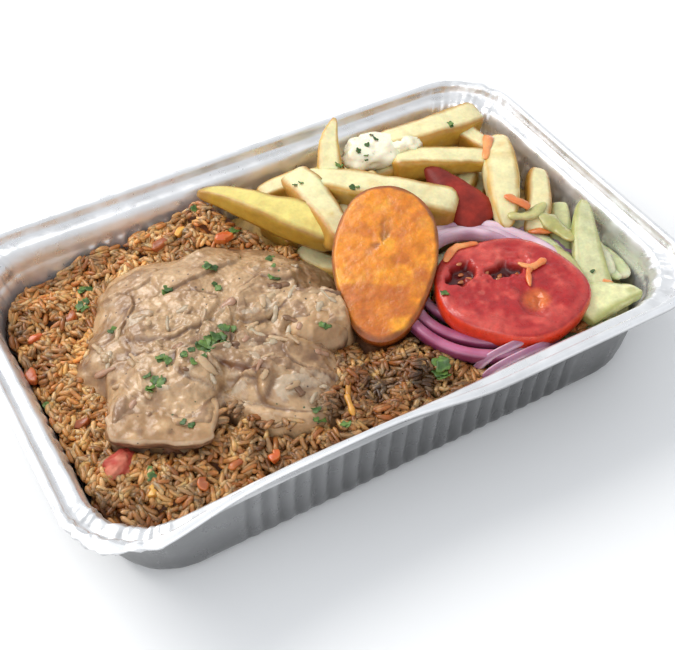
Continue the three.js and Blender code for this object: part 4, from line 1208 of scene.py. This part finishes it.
# Sprigs of parsley: place, number of leaflets, spread and leaflet size.
PARSLEY = [
    (-69, 46, 3, 2.0, 4.0), (-74, 38, 3, 2.4, 4.0), (-49, 19, 2, 1.2, 3.6), (-31, 22, 3, 1.6, 3.8),
    (-33, 14, 2, 1.4, 3.2), (-10, 20, 2, 2.0, 3.4), (-15, 9, 3, 2.2, 3.2), (-11, -19, 2, 1.4, 3.0),
    (-70, 15, 2, 1.6, 3.0), (-49, -11, 7, 3.2, 4.6), (-43, -9, 6, 2.6, 4.4), (-39, -6, 3, 1.6, 3.8),
    (-63, -8, 3, 2.0, 3.8), (-57, -12, 3, 2.0, 3.4), (-52, -17, 3, 2.0, 3.2), (-69, -14, 5, 2.6, 4.2),
    (-66, -32, 2, 1.6, 3.2), (-29, -46, 3, 1.6, 3.4), (-23, -54, 2, 1.6, 3.4), (-82, -39, 3, 2.2, 3.6),
    (-99, 5, 2, 1.6, 3.6), (16, -49, 6, 3.2, 5.6), (-13, 42, 2, 1.4, 3.2), (-22, 56, 2, 1.0, 3.0),
    (31, 43, 2, 1.2, 2.6), (41, 42, 3, 1.6, 2.6), (47, 47, 3, 2.4, 2.4), (51, 31, 2, 1.8, 2.6),
    (29, 28, 2, 1.4, 2.6), (79, 41, 2, 1.6, 2.6), (13, 41, 2, 1.4, 3.0), (82, -40, 1, 1.0, 2.6),
    (29, -29, 1, 0.4, 3.0), (60, 24, 2, 3.0, 2.2),
]


def make_parsley(heights):
    piece = Piece()
    rng = np.random.default_rng(41)
    seeds = itertools.count(501)
    for x, y, count, spread, size in PARSLEY:
        for _ in range(count):
            px, py = x + rng.normal(0, spread * 0.6), y + rng.normal(0, spread * 0.6)
            leaf(piece, (px, py, max(heights.at(px, py), 25) + 0.5), size * rng.uniform(0.7, 1.15),
                 rng.uniform(0, 360), rng.uniform(-25, 25), next(seeds))
    piece.object("parsley_leaves", "parsley", "cucumber")


# ---- Camera, floor and light ----
VIEW = {"azimuth": 30.5, "elevation": 46.81, "roll": 0.43, "distance": 417.96,
        "target": (11.34, 9.95, 0.0), "lens": 60.1}


def make_camera():
    data = bpy.data.cameras.new("camera")
    data.lens, data.sensor_width, data.clip_start = VIEW["lens"], 36, 0.01
    camera = show("camera", data)
    place = Matrix.Translation(Vector(VIEW["target"]) * MM)
    for angle, axis in ((-VIEW["azimuth"], "Z"), (90 - VIEW["elevation"], "X"), (VIEW["roll"], "Z")):
        place = place @ Matrix.Rotation(rad(angle), 4, axis)
    camera.matrix_world = place @ Matrix.Translation((0, 0, VIEW["distance"] * MM))
    bpy.context.scene.camera = camera


def make_floor():
    n, reach, under_tray = 40, 2500, -0.05
    span = np.linspace(-reach, reach, n)
    mesh = bpy.data.meshes.new("floor")
    points = plane(span[:, None], span, under_tray).reshape(-1, 3) * MM
    mesh.from_pydata(points.tolist(), [], grid_faces(n, n).tolist())
    look = Material("pale_floor", 0.8)
    look.paint(look.ramp(look.texture(400)["Fac"], (0.3, 0.86), (0.7, 0.9)))
    mesh.materials.append(look.data)
    show("floor", mesh)


def area_light(name, place, size, power, colour):
    data = bpy.data.lights.new(name, "AREA")
    data.shape, data.size, data.energy, data.color = "DISK", size, power, colour
    lamp = show(name, data)
    lamp.location = place
    lamp.rotation_euler = (-Vector(place)).to_track_quat("-Z", "Y").to_euler()


def make_light():
    area_light("key", (-0.35, 0.62, 0.75), 0.75, 8.4, (1, 0.985, 0.96))
    area_light("fill", (-0.7, -0.5, 0.6), 0.8, 3.0, (0.96, 0.98, 1))
    world = bpy.data.worlds.new("studio")
    bpy.context.scene.world = world
    world.use_nodes = True
    sky = world.node_tree.nodes["Background"].inputs
    sky["Color"].default_value, sky["Strength"].default_value = (0.93, 0.96, 1, 1), 0.8
    bpy.context.scene.view_settings.view_transform = "Standard"


# ---- The dish ----
def main():
    make_camera()
    make_floor()
    make_light()
    make_tray()
    # The heaps' own heights, and those of what stands over the rice.
    heights, over = Heights(), Heights()
    for name, values in CORES.items():
        heights.cover(make_core(name, *values))
    over.cover(make_sauce())
    for k, (name, (*shape, _)) in enumerate(BEEF.items()):
        over.cover(make_beef(name, *shape, 120 + 10 * k))
    make_shreds(over)
    for make in (make_wedge, make_plantain, make_tomato):
        over.cover(make())
    make_seeds()
    make_onions(over)
    chips, salad = make_chips(heights), make_salad(heights)
    make_rice(heights, over)
    lumps = {name: make_lump(name, *values) for name, values in LUMPS.items()}
    for piece in (lumps["dollop"], chips, salad):
        over.cover(piece)
    over.z = np.maximum(over.z, heights.z)
    over.cover(make_bits(over))
    make_parsley(over)


main()
